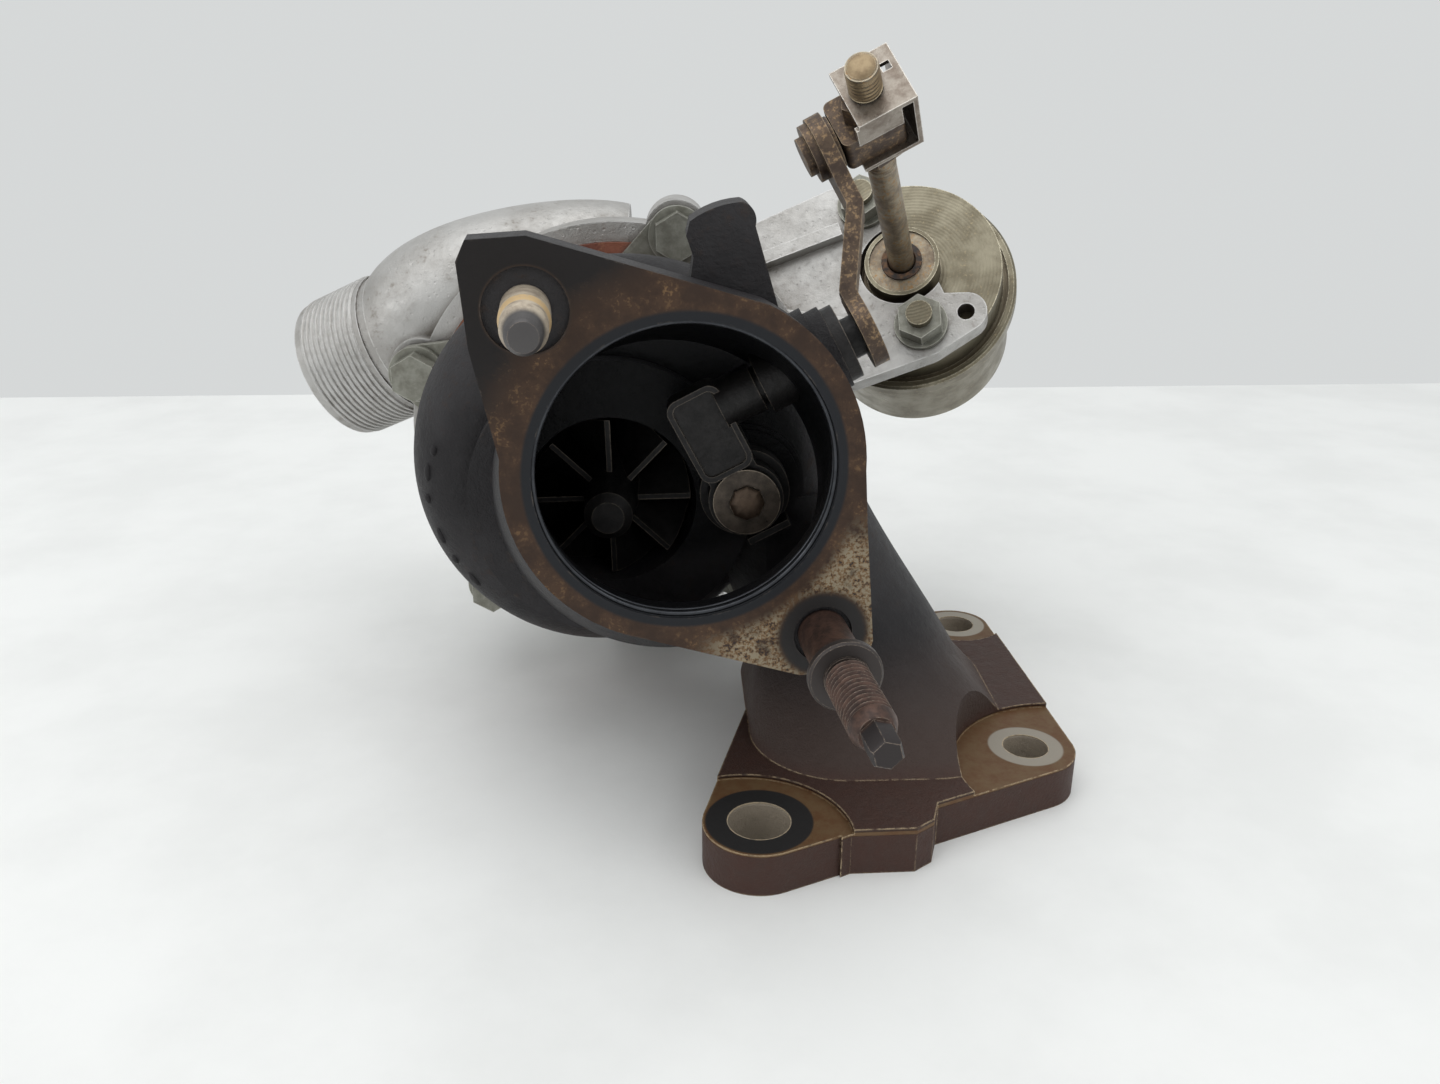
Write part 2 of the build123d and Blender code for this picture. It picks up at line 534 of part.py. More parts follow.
def actuator_arm():
    """Plate arm, cast with the compressor housing, that carries the can; it curls round the hub."""
    thick = BRACKET_THICK - 0.05
    spots = [(CAN_STUDS[0], 8.0), (BRACKET_ROOTS[0], 9.0), (BRACKET_ROOTS[1], 8.0), (BRACKET_ROOTS[2], 8.0),
             ((-21.0, -14.0), 8.0), (CAN_STUDS[1], 8.0)]
    rounds = [Pos(*at) * Circle(radius) for at, radius in spots]
    plate = make_hull([edge for circle in rounds for edge in circle.edges()])
    tail = [Pos(*CAN_STUDS[1]) * Circle(8.0), Pos(*BRACKET_LUG) * Circle(4.8)]
    plate += make_hull([edge for circle in tail for edge in circle.edges()])
    plate -= Circle(10.2)
    plate -= Pos(12, 6) * Rectangle(20, 14)
    arm = in_can_plane(extrude(plate, amount=thick), -thick)
    arm += in_can_plane(Pos(-27.0, 17.0, 1.0) * Rot(0, 0, -8) * Box(36, 3.4, 4.0))
    arm += in_can_plane(Pos(-27.0, -2.0, 1.0) * Rot(0, 0, -38) * Box(30, 3.4, 4.0))
    for x, y in CAN_STUDS:
        arm += rod(in_can(x, y, -thick), ROD_DIR, 7.0, thick)
        arm -= rod(in_can(x, y, -20), ROD_DIR, 3.0, 40)
        arm -= rod(in_can(x, y, 0), ROD_DIR, 7.0, 10)
    return arm - rod(in_can(*BRACKET_LUG, -20), ROD_DIR, 2.0, 40)


# ================= centre housing and rotor =================

def outward(angle):
    """Unit vector away from the rotor's axis at an angle round it."""
    turn = math.radians(angle)
    return Vector(math.cos(turn), 0, math.sin(turn))


def centre_housing():
    """Bearing housing: turbine spigot, waist, compressor-side disc and the oil passages."""
    body = turned([(0, 18.0), (31.0, 18.0), (31.0, TURBINE_BACK_Y), (TURBINE_RIM_R, TURBINE_BACK_Y),
                   (TURBINE_RIM_R, 27.0), (30.5, 27.0), (28.0, 28.5), (25.0, 33.0), (25.0, 36.0),
                   (28.0, DISC_FRONT_Y), (CENTRE_DISC_R, DISC_FRONT_Y), (CENTRE_DISC_R, DISC_BACK_Y),
                   (SPIGOT_R, DISC_BACK_Y), (SPIGOT_R, 49.0), (SPIGOT_R - 1.6, 49.0), (SPIGOT_R - 1.6, 51.0),
                   (SPIGOT_R, 51.0), (SPIGOT_R, 54.0), (0, 54.0)])
    body += rod(about_rotor(20.0, -90, WAIST_Y), (0, 0, -1), 8.5, 22.0)
    pad_plane = Plane(origin=about_rotor(DRAIN_FACE_R, -90, WAIST_Y))
    body += extrude(pad_plane * RectangleRounded(35.0, 15.0, 4.0), amount=7.0)
    for side in (-1, 1):
        screw_at = about_rotor(DRAIN_FACE_R + 1, -90, WAIST_Y) + Vector(side * DRAIN_SCREW_PITCH / 2, 0, 0)
        body -= rod(screw_at, (0, 0, 1), 2.5, 12.0)
    feed_dir = outward(FEED_ANGLE)
    body += rod(about_rotor(20.0, FEED_ANGLE, WAIST_Y), feed_dir, 8.0, 12.0)
    body -= turned([(0, 10), (BORE_R, 10), (BORE_R, 43.0), (11.5, 43.0), (11.5, 46.0), (THRUST_R, 46.0),
                    (THRUST_R, 60.0), (0, 60.0)])
    body -= turned([(BORE_R - 1, 28.0), (16.0, 28.0), (16.0, 39.0), (BORE_R - 1, 39.0)])
    body -= rod(about_rotor(12.0, -90, WAIST_Y), (0, 0, -1), DRAIN_R - 1.5, 60)
    body -= rod(about_rotor(DRAIN_FACE_R - DRAIN_DEPTH, -90, WAIST_Y), (0, 0, -1), DRAIN_R, 60)
    body -= rod(about_rotor(7.0, -90, WAIST_Y), (0, 0, -1), 1.5, 60)
    body -= rod(about_rotor(0.0, FEED_ANGLE, WAIST_Y), feed_dir, 2.0, 60)
    body -= rod(about_rotor(22.0, FEED_ANGLE, WAIST_Y), feed_dir, FEED_R, 12)
    for angle in TURBINE_BOLT_ANGLES:
        body -= rod(about_rotor(TURBINE_BOLT_R, angle, 20), (0, 1, 0), 2.5, 10)
    save("centre_housing", body)

    bolts = []
    for angle in TURBINE_BOLT_ANGLES:
        bolt = rod(about_rotor(TURBINE_BOLT_R, angle, 12), (0, 1, 0), 2.5, 16.0)
        bolts.append(bolt + hexagon(about_rotor(TURBINE_BOLT_R, angle, 27.0), (0, 1, 0), 7.5, 4.0))
    save("turbine_bolts", Compound(children=bolts))


def bearings():
    """The pinned sleeve bearing, the thrust parts, the seal plate and the heat shield."""
    save("heat_shield", turned([(9.4, 17.1), (30.9, 17.1), (30.9, 17.9), (14.0, 17.9), (9.4, 17.9)]))
    sleeve = turned([(SHAFT_R + FIT, 22.5), (BORE_R - FIT, 22.5), (BORE_R - FIT, 28.5), (7.0, 29.0),
                     (7.0, 37.0), (BORE_R - FIT, 37.5), (BORE_R - FIT, 42.5), (SHAFT_R + FIT, 42.5),
                     (SHAFT_R + FIT, 37.0), (5.4, 36.5), (5.4, 29.5), (SHAFT_R + FIT, 29.0)])
    sleeve -= rod(about_rotor(5.0, -90, 33.0), (0, 0, -1), 1.5, 10)
    save("journal_bearing", sleeve)
    save("bearing_pin", rod(about_rotor(5.6, -90, 33.0), (0, 0, -1), 1.5 - FIT, 8.0))
    save("thrust_bearing", turned([(6.6, 46.05), (THRUST_R, 46.05), (THRUST_R, 49.0), (6.6, 49.0)]))
    save("seal_plate", turned([(7.1, 51.6), (THRUST_R, 51.6), (THRUST_R, 54.0), (7.1, 54.0)]))
    save("oil_baffle", turned([(11.0, 49.0), (THRUST_R, 49.0), (THRUST_R, 51.6), (17.5, 51.6), (17.5, 49.8),
                               (11.0, 49.8)]))
    save("housing_o_ring", turned([(SPIGOT_R - 1.6, 49.0), (SPIGOT_R, 49.0), (SPIGOT_R, 51.0),
                                   (SPIGOT_R - 1.6, 51.0)]))


def blade(stations, thick, inner, outer, envelope):
    """One curved blade: radial slabs turned by an angle at each station, trimmed by an envelope."""
    sections = []
    for y, turn in stations:
        plane = Plane(origin=(ROTOR_X, y, ROTOR_Z), x_dir=(1, 0, 0), z_dir=(0, 1, 0))
        middle = Pos((inner + outer) / 2, 0)
        sections.append(plane * Rot(0, 0, turn) * middle * Rectangle(outer - inner, thick))
    return loft(sections) & envelope


def around_rotor(shape, count, offset=0.0):
    """Copies of a shape spaced round the rotor's axis."""
    return [shape.rotate(ROTOR, offset + index * 360.0 / count) for index in range(count)]


def turbine_wheel():
    """Turbine wheel cast in one with its shaft."""
    hub = turned([(0, -21.5), (3.2, -21.5), (4.8, -20.0), (5.2, -12.0), (6.5, -2.0), (9.5, 7.0), (13.0, 12.0),
                  (TURBINE_TIP_R - 0.6, 15.0), (TURBINE_TIP_R - 0.6, 16.2), (9.0, 16.6), (7.6, 17.0),
                  (7.6, 21.5), (SHAFT_R, 22.0), (SHAFT_R, 43.0), (THROUGH_R, 43.0),
                  (THROUGH_R, 89.0), (0, 89.0)])
    envelope = turned([(4.6, -9.0), (EXDUCER_R, -9.0), (EXDUCER_R, -1.5), (17.4, 2.5), (TURBINE_TIP_R, 5.2),
                       (TURBINE_TIP_R, 12.0), (TURBINE_TIP_R - 1, 15.4), (4.6, 15.4)])
    stations = [(-10.0, 48.0), (-6.0, 33.0), (0.0, 15.0), (7.0, 3.0), (16.0, 0.0)]
    vane = blade(stations, 1.1, 4.0, TURBINE_TIP_R + 4, envelope)
    wheel = hub
    for copy in around_rotor(vane, TURBINE_BLADES):
        wheel = wheel + copy
    wheel -= turned([(6.9, 18.6), (9.0, 18.6), (9.0, 20.0), (6.9, 20.0)])
    save("turbine_wheel", wheel)
    save("turbine_seal_ring", split_ring(6.95, BORE_R - 0.02, 18.7, 19.9))


def split_ring(inner, outer, front, back):
    """A piston ring with a narrow gap."""
    ring = turned([(inner, front), (outer, front), (outer, back), (inner, back)])
    gap = Box(outer, 4 * (back - front), 0.5)
    return ring - Pos(ROTOR_X + outer / 2 + 2, (front + back) / 2, ROTOR_Z) * gap


def compressor_wheel():
    """Compressor wheel with full and splitter blades, its collar, flinger and nut."""
    tip_r, inducer_r = 24.0, 17.0
    hub = turned([(THROUGH_R, 54.6), (tip_r - 0.2, 55.4), (tip_r - 0.2, 56.2), (15.0, 58.0), (9.5, 63.0),
                  (6.6, 71.0), (5.6, 79.0), (THROUGH_R, 79.0)])
    envelope = turned([(5.0, 55.8), (tip_r, 55.8), (tip_r, 58.6), (20.5, 61.0), (18.0, 66.0),
                       (inducer_r, 72.0), (inducer_r, 77.0), (5.0, 77.0)])
    short_envelope = turned([(5.0, 55.8), (tip_r, 55.8), (tip_r, 58.6), (20.5, 61.0), (18.0, 66.0),
                             (inducer_r, 71.0), (5.0, 71.0)])
    stations = [(55.0, 0.0), (61.0, -6.0), (67.0, -20.0), (73.0, -38.0), (78.0, -54.0)]
    full = blade(stations, 0.9, 4.5, tip_r + 4, envelope)
    splitter = blade(stations, 0.9, 4.5, tip_r + 4, short_envelope)
    wheel = hub
    blade_count = 6
    for copy in around_rotor(full, blade_count) + around_rotor(splitter, blade_count, 180.0 / blade_count):
        wheel = wheel + copy
    wheel -= rod((ROTOR_X, 50, ROTOR_Z), (0, 1, 0), THROUGH_R, 40)
    save("compressor_wheel", wheel)
    nut = hexagon((ROTOR_X, 79.0, ROTOR_Z), (0, 1, 0), 9.0, 6.0)
    save("shaft_nut", nut - rod((ROTOR_X, 70, ROTOR_Z), (0, 1, 0), THROUGH_R, 30))
    save("thrust_collar", turned([(THROUGH_R, 43.2), (11.0, 43.2), (11.0, 45.9), (6.5, 46.0), (6.5, 49.1),
                                  (THROUGH_R, 49.1)]))
    save("oil_flinger", turned([(THROUGH_R, 49.1), (10.0, 49.1), (10.0, 51.2), (7.0, 51.3), (7.0, 52.2),
                                (6.1, 52.2), (6.1, 53.4), (7.0, 53.4), (7.0, 54.6), (THROUGH_R, 54.6)]))
    save("compressor_seal_ring", split_ring(6.15, 7.08, 52.25, 53.35))


# ================= compressor housing =================

SCROLL_START = 115


def scroll_sections(extra):
    """Sections of the compressor's scroll, which grows anticlockwise to its outlet at the top."""
    sections = []
    for angle in range(SCROLL_START, 451, 27):
        grown = (angle - SCROLL_START) / (450 - SCROLL_START)
        radius = 5.5 + 7.0 * grown
        centre = about_rotor(23.5 + radius, angle, 60.0 + 0.7 * radius)
        turn = math.radians(angle)
        sections.append(circle_at(centre, (-math.sin(turn), 0, math.cos(turn)), radius + extra))
    return sections


def outlet_pipe(extra):
    """The pipe that leaves the scroll's top, bends down and ends in the hose nozzle."""
    top_radius = 12.5
    top = about_rotor(23.5 + top_radius, 90, 60.0 + 0.7 * top_radius)
    nozzle_in = 14.5
    stations = [(top + Vector(3, 0, 0), (-1, 0, 0), top_radius),
                (Vector(-84, 66, 97.5), (-1, -0.1, -0.1), 13.0),
                (Vector(-102, 63, 91.5), (-0.9, 0.05, -0.4), 14.0),
                (NOZZLE_START, NOZZLE_DIR, nozzle_in)]
    return loft([circle_at(at, direction, radius + extra) for at, direction, radius in stations])


def nozzle():
    """Plain hose nozzle at the end of the outlet pipe, behind a slightly narrower neck."""
    neck = rod(NOZZLE_START - NOZZLE_DIR, NOZZLE_DIR, NOZZLE_R - 0.4, NOZZLE_LENGTH)
    grip_from = NOZZLE_START + NOZZLE_DIR * NOZZLE_NECK
    return neck + rod(grip_from, NOZZLE_DIR, NOZZLE_R, NOZZLE_LENGTH - NOZZLE_NECK)


def compressor_housing():
    """One aluminium casting: scroll, back ring, air inlet, outlet pipe, lugs and support foot."""
    shell = 3.8
    body = loft(scroll_sections(shell))
    body += turned([(30.0, 52.0), (CENTRE_DISC_R + 0.05, 41.0), (CENTRE_DISC_R + 4.5, 41.0),
                    (CENTRE_DISC_R + 4.5, 54.0), (44.0, 60.0), (32.0, 76.0), (25.5, 82.0),
                    (25.5, INLET_END_Y), (18.0, INLET_END_Y),
                    (18.0, 60.0), (30.0, 60.0)])
    body += outlet_pipe(shell) + nozzle()
    for angle in BOLT_ANGLES:
        body += rod(about_rotor(BOLT_CIRCLE_R, angle, 41.0), (0, 1, 0), 7.5, 17.0)
    rotor_space = turned([(0, 10.0), (CENTRE_DISC_R + 4.6, 10.0), (CENTRE_DISC_R + 4.6, 41.0), (0, 41.0)])
    body += actuator_arm() - rotor_space
    foot = make_face(Polyline((-66, 0), (-32, 0), (-40, 24), (-58, 24), close=True))
    foot = extrude(Plane.XZ.offset(-58.0) * foot, amount=-16.0)
    body += foot
    cuts = [loft(scroll_sections(0)), outlet_pipe(0)]
    cuts.append(rod(NOZZLE_START - NOZZLE_DIR, NOZZLE_DIR, 14.5, NOZZLE_LENGTH + 5))
    cuts.append(turned([(0, 30.0), (CENTRE_DISC_R + 0.05, 30.0), (CENTRE_DISC_R + 0.05, DISC_BACK_Y),
                        (SPIGOT_R + 0.05, DISC_BACK_Y), (SPIGOT_R + 0.05, 54.0), (34.0, 55.0), (34.0, 59.0),
                        (24.6, 59.0), (21.0, 61.6), (18.5, 66.5), (17.5, 72.0), (17.5, 84.0), (22.0, 96.0),
                        (22.0, INLET_END_Y + 2), (0, INLET_END_Y + 2)]))
    for angle in BOLT_ANGLES:
        cuts.append(rod(about_rotor(BOLT_CIRCLE_R, angle, 30.0), (0, 1, 0), 3.0, 26.0))
    for cut in cuts:
        body = body - cut
    save("compressor_housing", max(body.solids(), key=lambda solid: solid.volume))


def compressor_fasteners():
    """Bolts and clamp plates that grip the rim of the centre housing's disc."""
    bolts, plates = [], []
    plate_thick = 2.0
    seat_y = DISC_FRONT_Y - plate_thick
    for angle in BOLT_ANGLES:
        at = about_rotor(BOLT_CIRCLE_R, angle, seat_y)
        bolt = rod(at - Vector(0, 1.6, 0), (0, 1, 0), 6.6, 1.6)
        bolt += hexagon(at - Vector(0, 6.6, 0), (0, 1, 0), 9.6, 5.1)
        bolts.append(bolt + rod(at - Vector(0, 1, 0), (0, 1, 0), 3.0, 18.0))
        plane = Plane(origin=(ROTOR_X, seat_y, ROTOR_Z), x_dir=(1, 0, 0), z_dir=(0, -1, 0))
        turn = math.radians(angle)
        corners = [Pos(BOLT_CIRCLE_R * math.cos(turn), BOLT_CIRCLE_R * math.sin(turn)) * Circle(6.5)]
        for side in (-12, 12):
            spread = math.radians(angle + side)
            corners.append(Pos(42.5 * math.cos(spread), 42.5 * math.sin(spread)) * Circle(2.2))
        outline = make_hull([edge for corner in corners for edge in corner.edges()])
        plate = extrude(plane.offset(-plate_thick) * outline, amount=plate_thick, dir=(0, -1, 0))
        plates.append(plate - rod(at - Vector(0, 5, 0), (0, 1, 0), 3.0, 12.0))
    save("compressor_bolts", Compound(children=bolts))
    save("clamp_plates", Compound(children=plates))


def build_all():
    save("turbine_housing", turbine_housing())
    outlet_studs()
    wastegate()
    wastegate_lever()
    lever_pin()
    rod_end()
    actuator_can()
    actuator_inside()
    centre_housing()
    bearings()
    turbine_wheel()
    compressor_wheel()
    compressor_housing()
    compressor_fasteners()


build_all()
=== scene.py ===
import json
import math

import bpy
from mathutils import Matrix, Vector


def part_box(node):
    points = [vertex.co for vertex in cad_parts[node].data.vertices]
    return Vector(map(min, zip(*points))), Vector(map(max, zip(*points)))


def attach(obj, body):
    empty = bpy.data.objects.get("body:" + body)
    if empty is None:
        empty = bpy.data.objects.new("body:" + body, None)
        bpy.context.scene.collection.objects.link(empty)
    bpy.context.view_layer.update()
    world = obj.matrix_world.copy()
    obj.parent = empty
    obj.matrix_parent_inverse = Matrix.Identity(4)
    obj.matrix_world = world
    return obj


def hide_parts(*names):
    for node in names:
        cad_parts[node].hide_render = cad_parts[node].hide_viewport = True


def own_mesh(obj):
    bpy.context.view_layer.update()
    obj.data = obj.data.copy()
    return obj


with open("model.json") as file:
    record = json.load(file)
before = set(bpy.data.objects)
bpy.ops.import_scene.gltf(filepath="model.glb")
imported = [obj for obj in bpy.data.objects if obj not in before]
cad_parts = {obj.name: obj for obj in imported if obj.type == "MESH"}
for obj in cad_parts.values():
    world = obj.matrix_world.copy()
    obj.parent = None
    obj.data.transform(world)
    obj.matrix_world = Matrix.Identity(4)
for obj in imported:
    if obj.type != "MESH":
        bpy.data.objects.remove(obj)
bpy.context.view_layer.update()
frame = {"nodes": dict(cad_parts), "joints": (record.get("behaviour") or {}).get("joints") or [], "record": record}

MM = 0.001
MOUNTS = {mount["name"]: mount for mount in frame["record"]["mounts"]}
JOINTS = {joint["name"]: joint for joint in frame["joints"]}


def place_of(mount):
    """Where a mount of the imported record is."""
    return Vector(MOUNTS[mount]["pos_m"])


def axis_of(mount):
    """The unit direction of a mount."""
    return Vector(MOUNTS[mount]["axis"]).normalized()


OUTLET = place_of("outlet_face")
OUT = axis_of("outlet_face")
BORE = place_of("outlet_bore")
BORE_R = MOUNTS["outlet_bore"]["dims"]["r_mm"] * MM


def on_outlet_face(point):
    """The point of the outlet face straight behind or in front of a point."""
    return point - OUT * (point - OUTLET).dot(OUT)


SHORT_STUD = on_outlet_face(place_of("outlet_stud_short_end"))
LONG_STUD = on_outlet_face(place_of("outlet_stud_long_thread"))
BORE_MOUTH = on_outlet_face(BORE)
ROTOR = Vector(JOINTS["rotor_spin"]["pos_m"])
ROTOR_DIR = Vector(JOINTS["rotor_spin"]["axis"])
ROD_DIR = -Vector(JOINTS["rod_stroke"]["axis"]).normalized()
HOLES = ["manifold_hole_front_left", "manifold_hole_front_right", "manifold_hole_back_right",
         "manifold_hole_back_left"]


# ================= shader writing =================

class Look:
    """One procedural material. Each call adds a node and gives back its output."""

    def __init__(self, name, metallic, specular=0.5):
        self.material = bpy.data.materials.new(name)
        self.material.use_nodes = True
        self.tree = self.material.node_tree
        self.shader = self.tree.nodes["Principled BSDF"]
        self.shader.inputs["Metallic"].default_value = metallic
        self.shader.inputs["Specular IOR Level"].default_value = specular
        self.place = self.tree.nodes.new("ShaderNodeTexCoord").outputs["Object"]
        self.geometry = self.tree.nodes.new("ShaderNodeNewGeometry")

    def feed(self, socket, value):
        """Link a socket or set its value."""
        if isinstance(value, bpy.types.NodeSocket):
            self.tree.links.new(value, socket)
        elif isinstance(value, tuple) and len(socket.default_value) == 4:
            socket.default_value = (*value, 1.0)
        else:
            socket.default_value = value

    def noise(self, size_mm, detail=4.0, roughness=0.6):
        """Noise with features of about the given size, 0 to 1."""
        node = self.tree.nodes.new("ShaderNodeTexNoise")
        node.inputs["Scale"].default_value = 1 / (size_mm * MM)
        node.inputs["Detail"].default_value = detail
        node.inputs["Roughness"].default_value = roughness
        self.feed(node.inputs["Vector"], self.place)
        return node.outputs["Fac"]

    def cells(self, size_mm):
        """Distance to the nearest of scattered points, for pits and specks."""
        node = self.tree.nodes.new("ShaderNodeTexVoronoi")
        node.inputs["Scale"].default_value = 1 / (size_mm * MM)
        self.feed(node.inputs["Vector"], self.place)
        return node.outputs["Distance"]

    def band(self, value, low, high):
        """0 at low and 1 at high, smooth between them."""
        node = self.tree.nodes.new("ShaderNodeMapRange")
        node.interpolation_type = "SMOOTHSTEP"
        self.feed(node.inputs["Value"], value)
        node.inputs["From Min"].default_value = low
        node.inputs["From Max"].default_value = high
        return node.outputs["Result"]

    def spread(self, value, low, high):
        """A 0 to 1 value stretched to run from low to high."""
        node = self.tree.nodes.new("ShaderNodeMapRange")
        self.feed(node.inputs["Value"], value)
        node.inputs["To Min"].default_value = low
        node.inputs["To Max"].default_value = high
        return node.outputs["Result"]

    def maths(self, operation, first, second=0.0):
        """A sum, product, maximum and the like."""
        node = self.tree.nodes.new("ShaderNodeMath")
        node.operation = operation
        self.feed(node.inputs[0], first)
        self.feed(node.inputs[1], second)
        return node.outputs[0]

    def both(self, *masks):
        """Where every mask holds."""
        result = masks[0]
        for mask in masks[1:]:
            result = self.maths("MULTIPLY", result, mask)
        return result

    def either(self, *masks):
        """Where any mask holds."""
        result = masks[0]
        for mask in masks[1:]:
            result = self.maths("MAXIMUM", result, mask)
        return result

    def outside(self, mask):
        """Where a mask doesn't hold."""
        return self.maths("SUBTRACT", 1.0, mask)

    def mix(self, mask, below, above):
        """Colour above where the mask holds, colour below elsewhere."""
        node = self.tree.nodes.new("ShaderNodeMix")
        node.data_type = "RGBA"
        self.feed(node.inputs["Factor"], mask)
        self.feed(next(s for s in node.inputs if s.identifier == "A_Color"), below)
        self.feed(next(s for s in node.inputs if s.identifier == "B_Color"), above)
        return next(s for s in node.outputs if s.identifier == "Result_Color")

    def vector(self, operation, first, second):
        """A vector sum, product, length and the like."""
        node = self.tree.nodes.new("ShaderNodeVectorMath")
        node.operation = operation
        self.feed(node.inputs[0], first)
        self.feed(node.inputs[1], second)
        return node

    def along(self, point, axis):
        """Distance past a point along an axis, in metres."""
        offset = self.vector("SUBTRACT", self.place, tuple(point)).outputs["Vector"]
        return self.vector("DOT_PRODUCT", offset, tuple(axis)).outputs["Value"]

    def from_axis(self, point, axis):
        """Distance from a line, in metres."""
        offset = self.vector("SUBTRACT", self.place, tuple(point)).outputs["Vector"]
        cross = self.vector("CROSS_PRODUCT", offset, tuple(axis)).outputs["Vector"]
        return self.vector("LENGTH", cross, (0, 0, 0)).outputs["Value"]

    def at_plane(self, point, axis, half_mm=0.35):
        """1 on a plane and 0 away from it."""
        gap = self.maths("ABSOLUTE", self.along(point, axis))
        return self.band(gap, half_mm * 2 * MM, half_mm * MM)

    def edges(self, radius_mm):
        """1 on the sharp edges of the shape, found by rounding them."""
        node = self.tree.nodes.new("ShaderNodeBevel")
        node.samples = 4
        node.inputs["Radius"].default_value = radius_mm * MM
        facing = self.vector("DOT_PRODUCT", node.outputs["Normal"], self.geometry.outputs["Normal"])
        rounded = self.band(facing.outputs["Value"], 0.985, 0.88)
        return self.both(rounded, self.outside(self.crevices(1.5)))

    def crevices(self, reach_mm):
        """1 deep in corners, where shade falls, found by ambient occlusion; the materials darken there as painted
        shade.
        """
        node = self.tree.nodes.new("ShaderNodeAmbientOcclusion")
        node.samples = 4
        node.inputs["Distance"].default_value = reach_mm * MM
        return self.band(node.outputs["AO"], 0.8, 0.3)

    def bumps(self, layers):
        """Height layers (value, depth in mm), stacked into one normal."""
        normal = None
        for height, depth_mm in layers:
            node = self.tree.nodes.new("ShaderNodeBump")
            node.inputs["Strength"].default_value = 1.0
            node.inputs["Distance"].default_value = depth_mm * MM
            self.feed(node.inputs["Height"], height)
            if normal is not None:
                self.feed(node.inputs["Normal"], normal)
            normal = node.outputs["Normal"]
        return normal

    def done(self, colour, roughness, layers):
        """Join colour, roughness and relief to the shader."""
        self.feed(self.shader.inputs["Base Color"], colour)
        self.feed(self.shader.inputs["Roughness"], roughness)
        self.feed(self.shader.inputs["Normal"], self.bumps(layers))
        return self.material


# ================= the materials =================

SLATE = (0.016, 0.0145, 0.016)
SLATE_LIGHT = (0.032, 0.030, 0.032)
PURPLE_BROWN = (0.056, 0.037, 0.031)
RED_BROWN = (0.060, 0.029, 0.022)
RUST = (0.036, 0.020, 0.013)
RUST_LIGHT = (0.062, 0.034, 0.020)
OCHRE = (0.180, 0.105, 0.050)
BEIGE = (0.270, 0.225, 0.155)
BRONZE = (0.140, 0.085, 0.042)
# Bright edge colour: part worn metal, part painted highlight.
BRIGHT_CUT_AND_HIGHLIGHT = (0.620, 0.480, 0.300)
# Near-black of the gas passages: part soot, part painted shade.
SOOT_AND_SHADE = (0.006, 0.006, 0.007)


def outlet_face_colour(look, colour):
    """Rust, ochre specks and pale bare patches of the machined outlet face."""
    foot_top = 35 * MM
    above_foot = look.band(look.along(Vector(), (0, 0, 1)), foot_top, foot_top + MM)
    face = look.both(look.at_plane(OUTLET, OUT), above_foot)
    from_bore = look.from_axis(BORE, OUT)
    smear = look.noise(5.0, 6.0, 0.65)
    speck = look.noise(0.75, 3.0, 0.7)
    rusty = look.mix(look.band(smear, 0.38, 0.66), RUST, RUST_LIGHT)
    outer_rim = look.spread(look.band(from_bore, 27.5 * MM, 32 * MM), 0.25, 1.0)
    flecks = look.both(look.band(smear, 0.46, 0.66), look.band(speck, 0.53, 0.62), outer_rim)
    rusty = look.mix(flecks, rusty, OCHRE)
    near_short = look.band(look.from_axis(SHORT_STUD, OUT), 24 * MM, 15 * MM)
    wavering = look.maths("ADD", from_bore, look.maths("MULTIPLY", smear, 10 * MM))
    far_left = look.band(wavering, 36 * MM, 43 * MM)
    dark_ear = look.both(near_short, far_left)
    rusty = look.mix(dark_ear, rusty, (0.012, 0.010, 0.010))
    from_long = look.from_axis(LONG_STUD, OUT)
    pale_zone = look.both(look.band(from_long, 7.5 * MM, 9.5 * MM), look.band(from_long, 25 * MM, 15 * MM),
                          look.band(from_bore, 29.0 * MM, 32.5 * MM))
    pale = look.mix(look.band(speck, 0.46, 0.52), BEIGE, OCHRE)
    pale = look.mix(look.band(speck, 0.56, 0.60), pale, (0.040, 0.030, 0.026))
    rusty = look.mix(look.both(pale_zone, look.band(smear, 0.30, 0.48)), rusty, pale)
    rusty = look.mix(look.band(from_long, 8.6 * MM, 7.2 * MM), rusty, (0.022, 0.020, 0.020))
    short_ring = look.band(look.from_axis(SHORT_STUD, OUT), 7.4 * MM, 6.9 * MM)
    rusty = look.mix(short_ring, rusty, (0.034, 0.022, 0.016))
    lip = look.band(from_bore, BORE_R + 2.0 * MM, BORE_R + 1.3 * MM)
    rusty = look.mix(lip, rusty, (0.012, 0.013, 0.016))
    return look.mix(face, colour, rusty), face


